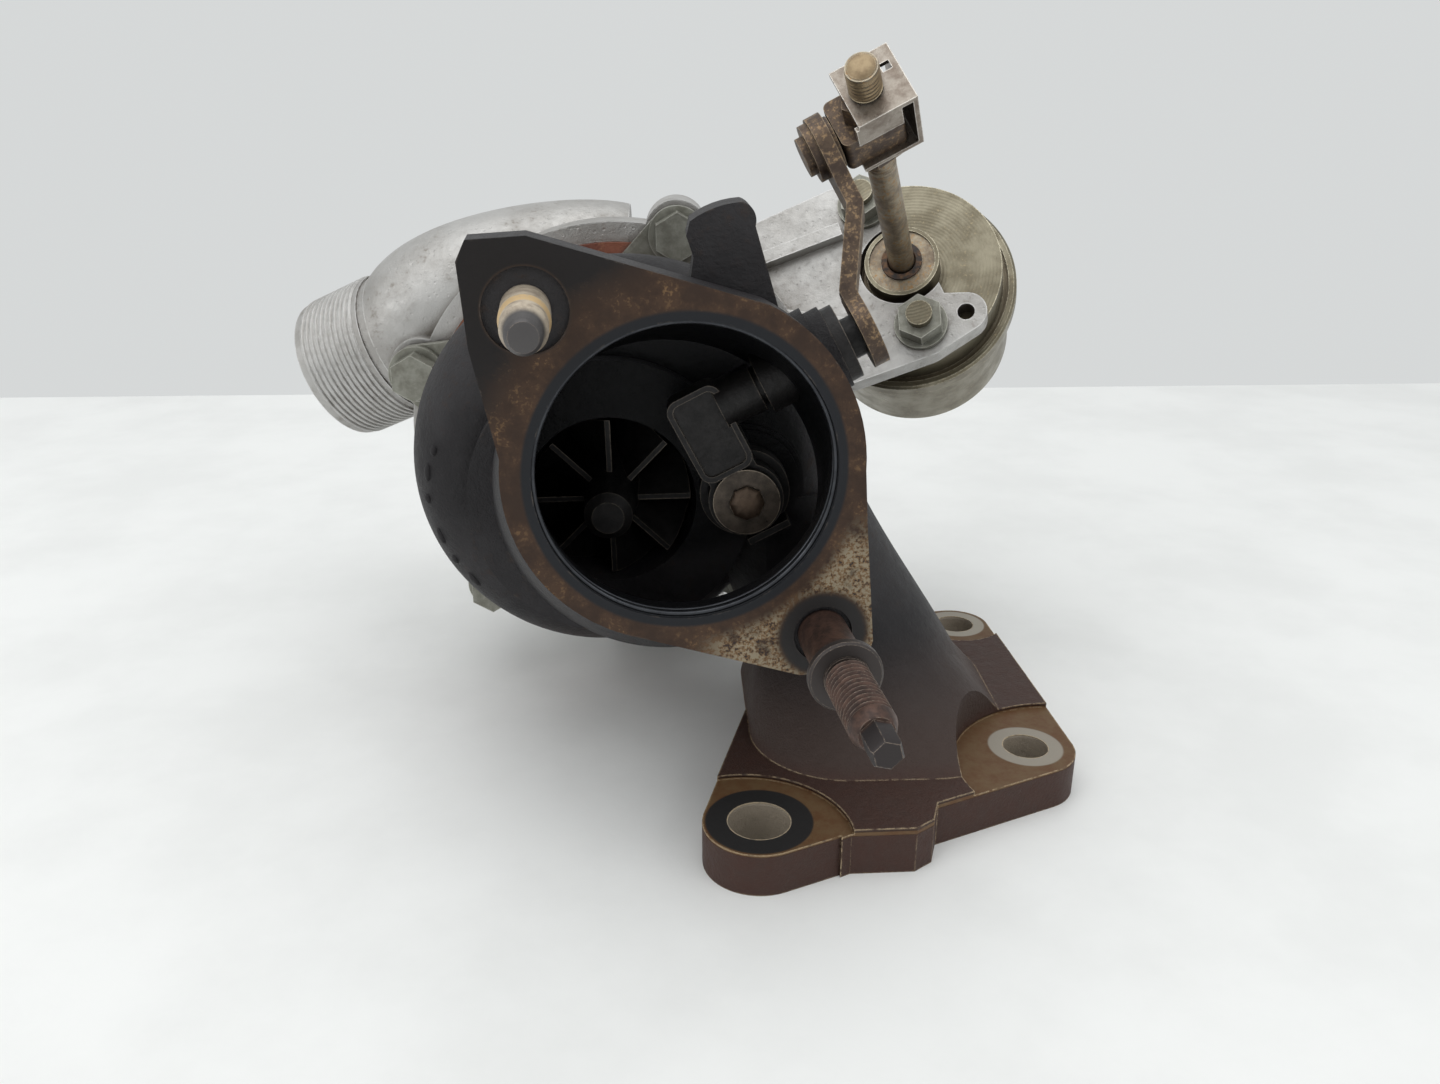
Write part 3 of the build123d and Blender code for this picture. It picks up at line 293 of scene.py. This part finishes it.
def manifold_flange_colour(look, colour):
    """Bronze spotfaces, bearing rings round the holes and red-brown sides of the foot flange."""
    height = look.along(Vector((0, 0, 0)), (0, 0, 1))
    grime = look.noise(3.5, 5.0, 0.7)
    colour = look.mix(look.band(height, 34 * MM, 12 * MM), colour, PURPLE_BROWN)
    sides = look.both(look.band(height, 13 * MM, 9 * MM), look.spread(look.band(grime, 0.3, 0.7), 0.55, 1.0))
    colour = look.mix(sides, colour, RED_BROWN)
    floor = look.at_plane(Vector((0, 0, 9 * MM)), (0, 0, 1), 0.3)
    bronze = look.mix(look.band(grime, 0.35, 0.68), BRONZE, (0.120, 0.058, 0.026))
    colour = look.mix(floor, colour, bronze)
    ring_radii = (10.2, 7.6, 7.4, 7.4)
    ring_colours = ((0.022, 0.021, 0.021), (0.300, 0.270, 0.225), (0.340, 0.310, 0.260),
                    (0.270, 0.240, 0.200))
    for name, outer, tint in zip(HOLES, ring_radii, ring_colours):
        distance = look.from_axis(place_of(name), (0, 0, 1))
        ring = look.both(floor, look.band(distance, (outer + 0.5) * MM, outer * MM))
        colour = look.mix(ring, colour, tint)
        inner = MOUNTS[name]["dims"]["r_mm"] * MM
        wall = look.both(look.band(distance, inner + 0.25 * MM, inner + 0.1 * MM),
                         look.band(height, 10 * MM, 9.2 * MM))
        colour = look.mix(wall, colour, (0.300, 0.255, 0.200))
    return colour, floor, height


def turbine_iron():
    """Dark oxidised casting with rusty machined faces and gas passages painted near-black, part soot and part
    painted shade.
    """
    look = Look("turbine_iron", metallic=0.12, specular=0.28)
    shade = look.noise(22.0, 4.0, 0.55)
    mottle = look.noise(2.6, 5.0, 0.7)
    grain = look.noise(0.55, 4.0, 0.7)
    colour = look.mix(look.band(shade, 0.35, 0.68), SLATE, SLATE_LIGHT)
    brownish = look.both(look.band(mottle, 0.52, 0.72), look.band(shade, 0.42, 0.6))
    colour = look.mix(brownish, colour, (0.038, 0.028, 0.025))
    colour, floor, height = manifold_flange_colour(look, colour)
    colour, face = outlet_face_colour(look, colour)
    edge = look.edges(0.5)
    # Edges lightened, bright on the low flange edges and paler elsewhere: part edge wear, part painted highlight.
    low_edge_wear_and_highlight = look.both(edge, look.band(height, 14 * MM, 11 * MM), look.band(mottle, 0.38, 0.55))
    colour = look.mix(low_edge_wear_and_highlight, colour, BRIGHT_CUT_AND_HIGHLIGHT)
    edge_wear_and_highlight = look.both(edge, look.band(mottle, 0.50, 0.66))
    colour = look.mix(edge_wear_and_highlight, colour, (0.090, 0.076, 0.066))
    from_bore = look.from_axis(BORE, OUT)
    depth = look.along(OUTLET, OUT)
    inside = look.both(look.band(from_bore, BORE_R + 6 * MM, BORE_R + 0.6 * MM),
                       look.band(depth, -0.3 * MM, -0.8 * MM), look.band(depth, -50 * MM, -42 * MM))
    shallow = look.both(look.band(from_bore, BORE_R - 4 * MM, BORE_R - 1 * MM),
                        look.band(depth, -4.5 * MM, -3 * MM))
    # Inside the bore painted near-black, part soot and part painted shade; a little lighter on the wall near the
    # mouth.
    colour = look.mix(inside, colour, SOOT_AND_SHADE)
    colour = look.mix(look.both(inside, shallow), colour, (0.016, 0.018, 0.022))
    cast = look.outside(look.either(face, floor))
    roughness = look.maths("ADD", look.spread(mottle, 0.40, 0.68), look.maths("MULTIPLY", inside, -0.12))
    relief = [(look.both(grain, cast), 0.16), (look.both(mottle, cast), 0.35), (grain, 0.03)]
    return look.done(colour, roughness, relief)


def core_iron():
    """Rust-red sand casting of the bearing housing."""
    look = Look("core_iron", metallic=0.1)
    mottle = look.noise(2.2, 5.0, 0.7)
    shade = look.noise(12.0, 3.0)
    grain = look.noise(0.45, 3.0, 0.7)
    colour = look.mix(look.band(shade, 0.35, 0.65), (0.130, 0.040, 0.026), (0.240, 0.085, 0.050))
    colour = look.mix(look.band(mottle, 0.55, 0.72), colour, (0.320, 0.150, 0.080))
    # Painted shade: darker in the corners, found by ambient occlusion.
    colour = look.mix(look.crevices(6.0), colour, (0.050, 0.026, 0.022))
    return look.done(colour, look.spread(mottle, 0.6, 0.85), [(grain, 0.12), (mottle, 0.25)])


def cast_aluminium():
    """Light grey die-cast aluminium, slightly pitted and stained, bright on its edges from wear and a painted
    highlight, with painted shade in its corners.
    """
    look = Look("cast_aluminium", metallic=0.72)
    shade = look.noise(18.0, 4.0, 0.6)
    mottle = look.noise(2.4, 5.0, 0.7)
    grain = look.noise(0.5, 3.0, 0.65)
    pits = look.band(look.cells(1.7), 0.10, 0.22)
    colour = look.mix(look.band(shade, 0.32, 0.70), (0.355, 0.342, 0.325), (0.500, 0.492, 0.478))
    stains = look.both(look.band(mottle, 0.54, 0.74), look.band(shade, 0.62, 0.4))
    colour = look.mix(stains, colour, (0.240, 0.215, 0.185))
    # Painted shade: darker in the corners, found by ambient occlusion.
    colour = look.mix(look.crevices(5.0), colour, (0.150, 0.130, 0.110))
    # Edges lightened: part rubbed metal, part painted highlight.
    rubbed_and_highlit_edge = look.both(look.edges(0.6), look.band(mottle, 0.36, 0.56))
    colour = look.mix(rubbed_and_highlit_edge, colour, (0.720, 0.715, 0.705))
    roughness = look.spread(look.band(mottle, 0.25, 0.75), 0.34, 0.62)
    relief = [(grain, 0.07), (mottle, 0.16), (pits, 0.06)]
    return look.done(colour, roughness, relief)


def worn_steel(name, base, dark, light, metallic, roughness, grain_mm=0.5, relief_mm=0.04, stain=None):
    """Steel with blotches, painted shade in its corners and rubbed edges lightened by wear and a painted
    highlight, as most of the hardware has.
    """
    look = Look(name, metallic)
    blotch = look.noise(3.8, 5.0, 0.68)
    speck = look.noise(0.8, 4.0, 0.7)
    grain = look.noise(grain_mm, 3.0, 0.65)
    colour = look.mix(look.band(blotch, 0.34, 0.66), base, dark)
    if stain:
        stained = look.both(look.band(blotch, 0.60, 0.45), look.band(speck, 0.50, 0.62))
        colour = look.mix(stained, colour, stain)
    # Painted shade: darker in the corners, found by ambient occlusion.
    colour = look.mix(look.crevices(3.0), colour, tuple(part * 0.45 for part in dark))
    # Edges lightened: part edge wear, part painted highlight.
    colour = look.mix(look.both(look.edges(0.35), look.band(speck, 0.30, 0.52)), colour, light)
    low, high = roughness
    gloss = look.spread(look.band(speck, 0.2, 0.8), low, high)
    return look.done(colour, gloss, [(grain, relief_mm), (blotch, relief_mm * 2)])


def stud_steel():
    """Stud finish: rust brown on the long one, pale and heat-tinted on the short one, dark noses."""
    look = Look("stud_steel", metallic=0.55)
    blotch = look.noise(2.4, 5.0, 0.7)
    speck = look.noise(0.6, 4.0, 0.7)
    depth = look.along(OUTLET, OUT)
    rust = look.mix(look.band(blotch, 0.36, 0.64), (0.100, 0.056, 0.042), (0.048, 0.030, 0.025))
    pale = look.mix(look.band(blotch, 0.36, 0.66), (0.600, 0.520, 0.410), (0.360, 0.295, 0.230))
    golden = look.both(look.at_plane(SHORT_STUD + OUT * 10.6 * MM, OUT, 0.9), look.band(speck, 0.2, 0.5))
    pale = look.mix(golden, pale, (0.720, 0.520, 0.280))
    pale = look.mix(look.band(depth, 16.6 * MM, 17.6 * MM), pale, (0.085, 0.080, 0.080))
    rust = look.mix(look.band(depth, 35.6 * MM, 36.4 * MM), rust, (0.036, 0.030, 0.030))
    flange = look.at_plane(LONG_STUD + OUT * 16 * MM, OUT, 1.2)
    rust = look.mix(flange, rust, (0.050, 0.042, 0.040))
    on_long = look.band(look.from_axis(LONG_STUD, OUT), 12 * MM, 10 * MM)
    colour = look.mix(on_long, pale, rust)
    # Painted shade: darker in the corners, found by ambient occlusion.
    colour = look.mix(look.crevices(1.0), colour, (0.022, 0.014, 0.012))
    # Edges lightened: part edge wear, part painted highlight.
    colour = look.mix(look.both(look.edges(0.2), look.band(speck, 0.35, 0.6)), colour, (0.360, 0.290, 0.230))
    return look.done(colour, look.spread(speck, 0.34, 0.60), [(speck, 0.015), (blotch, 0.02)])


def can_plate():
    """Olive-gold plated pressing with faint spinning marks round its axis."""
    look = Look("can_plate", metallic=0.78)
    centre = (Vector(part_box("actuator_front_cup")[0]) + Vector(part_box("actuator_front_cup")[1])) / 2
    distance = look.from_axis(centre, ROD_DIR)
    blotch = look.noise(7.0, 5.0, 0.62)
    speck = look.noise(0.7, 4.0, 0.7)
    wavering = look.maths("ADD", distance, look.maths("MULTIPLY", blotch, 0.4 * MM))
    rings = look.maths("SINE", look.maths("MULTIPLY", wavering, 7800.0))
    colour = look.mix(look.band(blotch, 0.34, 0.68), (0.230, 0.208, 0.152), (0.155, 0.135, 0.094))
    flecks = look.both(look.band(speck, 0.56, 0.70), look.band(blotch, 0.4, 0.6))
    colour = look.mix(flecks, colour, (0.280, 0.230, 0.145))
    # Painted shade: darker in the corners, found by ambient occlusion.
    colour = look.mix(look.crevices(4.0), colour, (0.100, 0.080, 0.055))
    # Edges lightened: part edge wear, part painted highlight.
    colour = look.mix(look.both(look.edges(0.4), look.band(speck, 0.34, 0.55)), colour, (0.620, 0.570, 0.440))
    roughness = look.spread(look.band(blotch, 0.25, 0.75), 0.26, 0.44)
    return look.done(colour, roughness, [(rings, 0.012), (speck, 0.02), (blotch, 0.05)])


def rubber():
    """Dull aged rubber, dusted brown."""
    look = Look("seal_rubber", metallic=0.0)
    dust = look.noise(1.6, 5.0, 0.7)
    colour = look.mix(look.band(dust, 0.40, 0.68), (0.032, 0.026, 0.024), (0.185, 0.095, 0.045))
    return look.done(colour, look.spread(dust, 0.60, 0.85), [(look.noise(0.4), 0.06), (dust, 0.1)])


def every_material():
    """Each slot of the record and its material."""
    return {
        "turbine_iron": turbine_iron(),
        "core_iron": core_iron(),
        "cast_aluminium": cast_aluminium(),
        "milled_aluminium": worn_steel("milled_aluminium", (0.74, 0.74, 0.73), (0.50, 0.49, 0.48),
                                       (0.92, 0.92, 0.92), 0.9, (0.22, 0.38), 0.35, 0.015),
        "stud_steel": stud_steel(),
        "heat_steel": worn_steel("heat_steel", (0.024, 0.022, 0.022), (0.012, 0.011, 0.011),
                                 (0.190, 0.160, 0.130), 0.45, (0.34, 0.58), 0.45, 0.06),
        "lever_steel": worn_steel("lever_steel", (0.120, 0.082, 0.056), (0.060, 0.040, 0.030),
                                  (0.340, 0.260, 0.170), 0.5, (0.36, 0.58), 0.5, 0.04,
                                  stain=(0.300, 0.200, 0.110)),
        "clip_steel": worn_steel("clip_steel", (0.330, 0.295, 0.255), (0.185, 0.150, 0.122),
                                 (0.760, 0.730, 0.680), 0.8, (0.24, 0.42), 0.6, 0.02),
        "rod_steel": worn_steel("rod_steel", (0.330, 0.285, 0.210), (0.175, 0.136, 0.098),
                                (0.560, 0.510, 0.400), 0.7, (0.30, 0.50), 0.5, 0.03,
                                stain=(0.330, 0.200, 0.090)),
        "can_plate": can_plate(),
        "zinc_steel": worn_steel("zinc_steel", (0.300, 0.300, 0.260), (0.185, 0.180, 0.150),
                                 (0.560, 0.555, 0.500), 0.6, (0.36, 0.55), 0.5, 0.04),
        "bearing_steel": worn_steel("bearing_steel", (0.56, 0.56, 0.55), (0.36, 0.35, 0.33),
                                    (0.85, 0.85, 0.84), 0.95, (0.16, 0.32), 0.4, 0.01),
        "bearing_bronze": worn_steel("bearing_bronze", (0.66, 0.46, 0.22), (0.42, 0.28, 0.13),
                                     (0.88, 0.70, 0.42), 0.95, (0.20, 0.36), 0.4, 0.012),
        "seal_rubber": rubber(),
        "bore_bead": worn_steel("bore_bead", (0.060, 0.064, 0.072), (0.034, 0.036, 0.042),
                                (0.110, 0.115, 0.125), 0.7, (0.26, 0.34), 2.0, 0.002),
        "washer_steel": worn_steel("washer_steel", (0.110, 0.088, 0.070), (0.052, 0.042, 0.034),
                                   (0.480, 0.400, 0.310), 0.7, (0.26, 0.42), 0.5, 0.03),
        "rivet_steel": worn_steel("rivet_steel", (0.130, 0.088, 0.060), (0.070, 0.047, 0.033),
                                  (0.360, 0.270, 0.190), 0.6, (0.30, 0.45), 0.6, 0.03),
        "ochre_tip": worn_steel("ochre_tip", (0.330, 0.250, 0.150), (0.200, 0.140, 0.080),
                                (0.500, 0.410, 0.280), 0.65, (0.32, 0.50), 0.5, 0.03),
    }


# ================= mesh pieces =================

CREASE_DEG = 38
M8_PITCH, M8_DEPTH = 1.25, 0.68
STUD_THREAD = (17.6, 33.0, M8_PITCH, M8_DEPTH)
STUD_HEX = (35.6, 41.5, 6)

def piece_from(name, points, faces, material, body):
    """A mesh object with crisp edges, on its body, with its finish."""
    mesh = bpy.data.meshes.new(name)
    mesh.from_pydata([tuple(point) for point in points], [], faces)
    mesh.materials.append(material)
    mesh.shade_smooth()
    mesh.set_sharp_from_angle(angle=math.radians(CREASE_DEG))
    piece = bpy.data.objects.new(name, mesh)
    bpy.context.scene.collection.objects.link(piece)
    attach(piece, body)
    return piece


def tube_faces(rows, around):
    """Faces between one ring of points and the next, for rings of the given count."""
    faces = []
    for row in range(rows - 1):
        for step in range(around):
            a, b = row * around + step, row * around + (step + 1) % around
            faces.append((a, b, b + around, a + around))
    return faces


def square_frame(direction):
    """Two unit directions at right angles to a direction and to each other."""
    first = direction.orthogonal().normalized()
    return first, direction.cross(first).normalized()


def thread_tooth(turns):
    """Depth of a V thread, 0 at the crest and 1 at the root, for a position counted in turns."""
    part = turns % 1.0
    return min(1.0, max(0.0, 1.25 * (1 - abs(2 * part - 1)) - 0.125))


def station_list(outline, thread):
    """Positions and radii along a turned piece, with extra ones where it is threaded."""
    if not thread:
        return list(outline)
    begin, end, pitch, _ = thread
    steps_per_turn = 8
    count = round((end - begin) / pitch * steps_per_turn)
    fine = [begin + (end - begin) * step / count for step in range(count + 1)]
    stations = [(s, r) for s, r in outline if s < begin or s > end]
    for s in fine:
        for (s0, r0), (s1, r1) in zip(outline, outline[1:]):
            if s0 <= s <= s1 and s1 > s0:
                stations.append((s, r0 + (r1 - r0) * (s - s0) / (s1 - s0)))
                break
    return sorted(stations, key=lambda station: station[0])


def turned_piece(name, start, direction, outline, material, body, thread=None, flats=None):
    """A turned piece from (distance, radius) in mm, with an optional thread and an optional flatted part."""
    around = 72
    side, up = square_frame(direction)
    points = []
    stations = station_list(outline, thread)
    for s, radius in stations:
        for step in range(around):
            turn = step / around
            angle = turn * math.tau
            reach = radius
            if thread and thread[0] < s < thread[1]:
                reach -= thread[3] * thread_tooth(s / thread[2] - turn)
            if flats and flats[0] <= s <= flats[1]:
                sector = math.tau / flats[2]
                reach *= math.cos(sector / 2) / math.cos((angle % sector) - sector / 2)
            spoke = side * math.cos(angle) + up * math.sin(angle)
            points.append(start + (direction * s + spoke * reach) * MM)
    faces = tube_faces(len(stations), around)
    last = (len(stations) - 1) * around
    faces.append(tuple(range(around))[::-1])
    faces.append(tuple(range(last, last + around)))
    return piece_from(name, points, faces, material, body)


def turned_sleeve(name, start, direction, outline, inner, material, body="housing",
                  thread=None):
    """A thin turned sleeve round an existing round part, closed at its ends."""
    around = 96
    side, up = square_frame(direction)
    stations = station_list(outline, thread)
    stations = [(stations[0][0], inner)] + stations + [(stations[-1][0], inner)]
    points, faces = [], []
    for s, radius in stations:
        for step in range(around):
            turn = step / around
            reach = radius
            if thread and thread[0] < s < thread[1] and radius > inner:
                reach -= thread[3] * thread_tooth(s / thread[2] - turn)
            spoke = side * math.cos(turn * math.tau) + up * math.sin(turn * math.tau)
            points.append(start + (direction * s + spoke * reach) * MM)
    rows = len(stations)
    for row in range(rows):
        for step in range(around):
            a, b = row * around + step, row * around + (step + 1) % around
            c, d = ((row + 1) % rows) * around + (step + 1) % around, ((row + 1) % rows) * around + step
            faces.append((a, b, c, d))
    return piece_from(name, points, faces, material, body)


def ring_piece(name, centre, direction, radius, thickness, material, body):
    """A round-section ring."""
    around, section = 144, 16
    side, up = square_frame(direction)
    points, faces = [], []
    for step in range(around):
        angle = step / around * math.tau
        spoke = side * math.cos(angle) + up * math.sin(angle)
        for part in range(section):
            turn = part / section * math.tau
            reach = radius + thickness * math.cos(turn)
            points.append(centre + (spoke * reach + direction * thickness * math.sin(turn)) * MM)
            a = step * section + part
            b = step * section + (part + 1) % section
            total = around * section
            faces.append((a, b, (b + section) % total, (a + section) % total))
    return piece_from(name, points, faces, material, body)


def outlet_studs(looks):
    """The two outlet studs with their noses, collar and thread."""
    short = [(-15.5, 4.0), (9.6, 4.0), (10.6, 3.65), (16.4, 3.6), (17.5, 2.8), (21.4, 2.75), (22.2, 2.2),
             (22.5, 1.2)]
    piece = turned_piece("outlet_stud_short_turned", SHORT_STUD, OUT, short, looks["stud_steel"], "housing")
    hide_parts("outlet_stud_short")
    long_stud = [(-15.5, 4.0), (0, 4.6), (14.4, 4.6), (15.0, 6.1), (15.4, 6.5), (16.6, 6.5), (17.0, 6.1),
                 (17.1, 4.0), (33.2, 4.0), (34.8, 3.4), (35.5, 3.0), (35.6, 2.85), (41.0, 2.8), (41.5, 2.4)]
    piece = turned_piece("outlet_stud_long_turned", LONG_STUD, OUT, long_stud, looks["stud_steel"], "housing",
                         thread=STUD_THREAD, flats=STUD_HEX)
    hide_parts("outlet_stud_long")


def outlet_beads(looks):
    """The raised ring just inside the outlet bore and the fine cut ring behind it."""
    for name, depth, set_in, thickness in (("outer", 1.5, 0.15, 0.55), ("inner", 3.4, 0.10, 0.35)):
        ring_piece(f"outlet_bead_{name}", BORE_MOUTH - OUT * depth * MM, OUT, BORE_R / MM - set_in, thickness,
                   looks["bore_bead"], "housing")


def nozzle_ribs(looks):
    """Fine ribs that grip the hose on the boost outlet."""
    centre, axis = place_of("boost_outlet_nozzle"), axis_of("boost_outlet_nozzle")
    radius = MOUNTS["boost_outlet_nozzle"]["dims"]["r_mm"]
    ribs, pitch, height, foot = 11, 1.5, 0.42, 0.03
    first = -pitch * ribs / 2
    outline = []
    for rib in range(ribs):
        s = first + rib * pitch
        outline += [(s, radius + foot), (s + 0.35, radius + height), (s + 0.85, radius + height),
                    (s + 1.2, radius + foot)]
    turned_sleeve("nozzle_ribs", centre, axis, outline, radius - 0.2, looks["cast_aluminium"])


def span_along(node, point, direction):
    """How far a CAD node reaches either way along a line, in mm from a point."""
    reach = [(vertex.co - point).dot(direction) / MM for vertex in frame["nodes"][node].data.vertices]
    return min(reach), max(reach)


def middle_of(node):
    """The middle of a CAD node's box."""
    low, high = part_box(node)
    return (low + high) / 2


def rod_threads(looks):
    """Thread on the actuator rod above the clevis block and below its lock nut."""
    nut_centre = middle_of("adjusting_nut")
    rod_top = span_along("actuator_rod", nut_centre, ROD_DIR)[1]
    clip_top = span_along("lock_clip", nut_centre, ROD_DIR)[1]
    clip_low = span_along("lock_clip", nut_centre, ROD_DIR)[0]
    nut_low = span_along("lock_nut", nut_centre, ROD_DIR)[0]
    below = min(nut_low, clip_low)
    radius, inner, pitch, depth = 3.16, 2.8, 1.0, 0.22
    upper = [(clip_top + 0.3, radius), (rod_top - 0.9, radius), (rod_top - 0.2, radius - 0.4)]
    turned_sleeve("rod_thread_upper", nut_centre, ROD_DIR, upper, inner, looks["ochre_tip"], "rod_assembly",
                  thread=(clip_top + 0.3, rod_top - 1.0, pitch, depth))
    lower = [(below - 7.0, radius - 0.1), (below - 0.3, radius)]
    turned_sleeve("rod_thread_lower", nut_centre, ROD_DIR, lower, inner, looks["rod_steel"], "rod_assembly",
                  thread=(below - 6.6, below - 0.3, pitch, depth))
    dome = [(rod_top - 0.3, 2.75), (rod_top + 0.1, 2.6), (rod_top + 0.35, 2.0), (rod_top + 0.45, 1.0)]
    turned_piece("rod_tip_dome", nut_centre, ROD_DIR, dome, looks["ochre_tip"], "rod_assembly")


def actuator_coil(looks):
    """Return spring inside the can."""
    nut_centre = middle_of("adjusting_nut")
    low, high = span_along("actuator_spring", nut_centre, ROD_DIR)
    wire, wide, narrow, turns = 0.9, 15.0, 11.7, 4
    steps, section = 192, 12
    side, up = square_frame(ROD_DIR)
    points = []
    for step in range(steps + 1):
        share = step / steps
        angle = share * turns * math.tau
        spoke = side * math.cos(angle) + up * math.sin(angle)
        radius = wide + (narrow - wide) * share
        rise = low + wire + (high - low - 2 * wire) * share
        for part in range(section):
            turn = part / section * math.tau
            reach = radius + wire * math.cos(turn)
            points.append(nut_centre + (spoke * reach + ROD_DIR * (rise + wire * math.sin(turn))) * MM)
    faces = tube_faces(steps + 1, section)
    faces.append(tuple(range(section))[::-1])
    faces.append(tuple(range(steps * section, (steps + 1) * section)))
    coil = piece_from("actuator_coil", points, faces, looks["bearing_steel"], "housing")
    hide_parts("actuator_spring")
    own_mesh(coil)


def nipple_barbs(looks):
    """Two barbs that hold the vacuum hose."""
    centre, axis = place_of("vacuum_nipple_end"), axis_of("vacuum_nipple_end")
    radius = MOUNTS["vacuum_nipple_end"]["dims"]["r_mm"]
    outline = []
    for start in (-0.5, 2.2):
        outline += [(start, radius + 0.02), (start + 0.1, radius + 0.45), (start + 2.2, radius + 0.02)]
    turned_sleeve("vacuum_nipple_barbs", centre, axis, outline, radius - 0.15, looks["can_plate"], "housing")


def inlet_bead(looks):
    """The rolled bead that keeps the intake hose on its spigot."""
    middle, axis = place_of("air_inlet_spigot"), axis_of("air_inlet_spigot")
    sizes = MOUNTS["air_inlet_spigot"]["dims"]
    mouth = sizes["length_mm"] / 2
    ring_piece("air_inlet_bead", middle + axis * (mouth - 2.5) * MM, axis, sizes["r_mm"] - 0.1, 1.1,
               looks["cast_aluminium"], "housing")


def flap_rivet(looks):
    """The peened head that holds the flap and its washer on the arm."""
    low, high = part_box("flap_washer")
    stem_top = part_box("wastegate_flap")[0].y
    start = Vector(((low.x + high.x) / 2, stem_top, (low.z + high.z) / 2))
    head = [(-1.2, 3.45), (0.0, 3.45), (0.35, 3.1), (0.5, 2.2), (0.55, 0.8)]
    turned_piece("flap_rivet_head", start, Vector((0, -1, 0)), head, looks["rivet_steel"], "wastegate",
                 flats=(-1.2, 0.55, 8))


def volute_marks(looks):
    """Low raised foundry marks on the front of the turbine volute, plain bars and dots."""
    housing = frame["nodes"]["turbine_housing"]
    length, width, height, sunk = 2.1, 0.9, 0.8, 0.15
    in_front = 0.1
    rings, around = 5, 20
    spots = [(166, 37.5), (174, 38.5), (183, 39.0), (196, 38.5), (205, 38.0), (214, 37.0)]
    for number, (angle, radius) in enumerate(spots):
        turn = math.radians(angle)
        spoke = Vector((math.cos(turn), 0, math.sin(turn)))
        ray_start = ROTOR + spoke * radius * MM - ROTOR_DIR * in_front
        hit, spot, normal, _ = housing.ray_cast(ray_start, ROTOR_DIR)
        if not hit:
            continue
        tangent = normal.cross(spoke).normalized()
        across = normal.cross(tangent).normalized()
        long_way = length if number % 2 else width * 1.3
        points = []
        for ring in range(rings):
            slope = ring / rings * math.pi / 2
            for step in range(around):
                theta = step / around * math.tau
                offset = tangent * math.cos(theta) * long_way + across * math.sin(theta) * width
                lift = normal * (math.sin(slope) * height - sunk)
                points.append(spot + (offset * math.cos(slope) + lift) * MM)
        faces = tube_faces(rings, around)
        faces.append(tuple(range((rings - 1) * around, rings * around)))
        piece_from(f"volute_mark_{number + 1}", points, faces, looks["turbine_iron"], "housing")


# ================= stage =================

def floor_and_light():
    """A pale table top in front of a pale wall of light, with soft lamps above and beside it."""
    points, faces = [], []
    near, far, half_width = -1.6, 0.345, 2.4
    rows, columns = 24, 32
    for row in range(rows + 1):
        for column in range(columns + 1):
            across = half_width * (2 * column / columns - 1)
            points.append((across, near + (far - near) * row / rows, 0.0))
    for row in range(rows):
        for column in range(columns):
            a = row * (columns + 1) + column
            faces.append((a, a + 1, a + columns + 2, a + columns + 1))
    mesh = bpy.data.meshes.new("floor")
    mesh.from_pydata(points, [], faces)
    floor = bpy.data.objects.new("floor", mesh)
    bpy.context.scene.collection.objects.link(floor)
    look = Look("floor_paint", metallic=0.0)
    cloud = look.noise(60.0, 5.0, 0.6)
    grain = look.noise(1.5, 4.0, 0.6)
    colour = look.mix(look.band(cloud, 0.35, 0.68), (0.87, 0.875, 0.865), (0.81, 0.815, 0.805))
    mesh.materials.append(look.done(colour, look.spread(grain, 0.42, 0.58), [(grain, 0.03)]))

    world = bpy.data.worlds.new("room")
    bpy.context.scene.world = world
    world.use_nodes = True
    background = world.node_tree.nodes["Background"]
    background.inputs["Color"].default_value = (0.80, 0.82, 0.82, 1)
    background.inputs["Strength"].default_value = 0.84
    lamps = [("lamp_above", (-0.15, -0.05, 0.95), 0.9, 3.6), ("lamp_left", (-0.75, -0.45, 0.55), 0.5, 1.5),
             ("lamp_right", (0.70, -0.50, 0.60), 0.5, 1.1)]
    target = Vector((-0.045, 0.0, 0.06))
    for name, spot, size, power in lamps:
        light = bpy.data.lights.new(name, "AREA")
        light.size = size
        light.energy = power
        lamp = bpy.data.objects.new(name, light)
        lamp.location = spot
        lamp.rotation_euler = (target - Vector(spot)).to_track_quat("-Z", "Y").to_euler()
        bpy.context.scene.collection.objects.link(lamp)


CAMERA_PLACE = (-0.0475, -0.2298, 0.1369)
CAMERA_TILT_DEG, CAMERA_TURN_DEG = 68.954, -2.465
LENS_MM, FRAME_MM = 28.165, 36.0


def camera():
    """The photograph's viewpoint: in front of the outlet and a little above it."""
    lens = bpy.data.cameras.new("camera")
    lens.lens = LENS_MM
    lens.sensor_width = FRAME_MM
    lens.clip_start = 0.01
    view = bpy.data.objects.new("camera", lens)
    view.location = CAMERA_PLACE
    view.rotation_euler = (math.radians(CAMERA_TILT_DEG), 0.0, math.radians(CAMERA_TURN_DEG))
    bpy.context.scene.collection.objects.link(view)
    bpy.context.scene.camera = view


# ================= the whole scene =================

def paint_frame(looks):
    """Give every CAD node the material of its slot."""
    special = {"flap_washer": "washer_steel"}
    for part in frame["record"]["subparts"]:
        node = part["node"]
        look = looks[special.get(node, part["material_slot"])]
        slots = frame["nodes"][node].material_slots
        if not slots:
            frame["nodes"][node].data.materials.append(look)
        for slot in slots:
            slot.material = look


looks = every_material()
paint_frame(looks)
outlet_studs(looks)
outlet_beads(looks)
nozzle_ribs(looks)
rod_threads(looks)
actuator_coil(looks)
nipple_barbs(looks)
inlet_bead(looks)
flap_rivet(looks)
volute_marks(looks)
floor_and_light()
camera()
bpy.context.scene.view_settings.view_transform = "Standard"
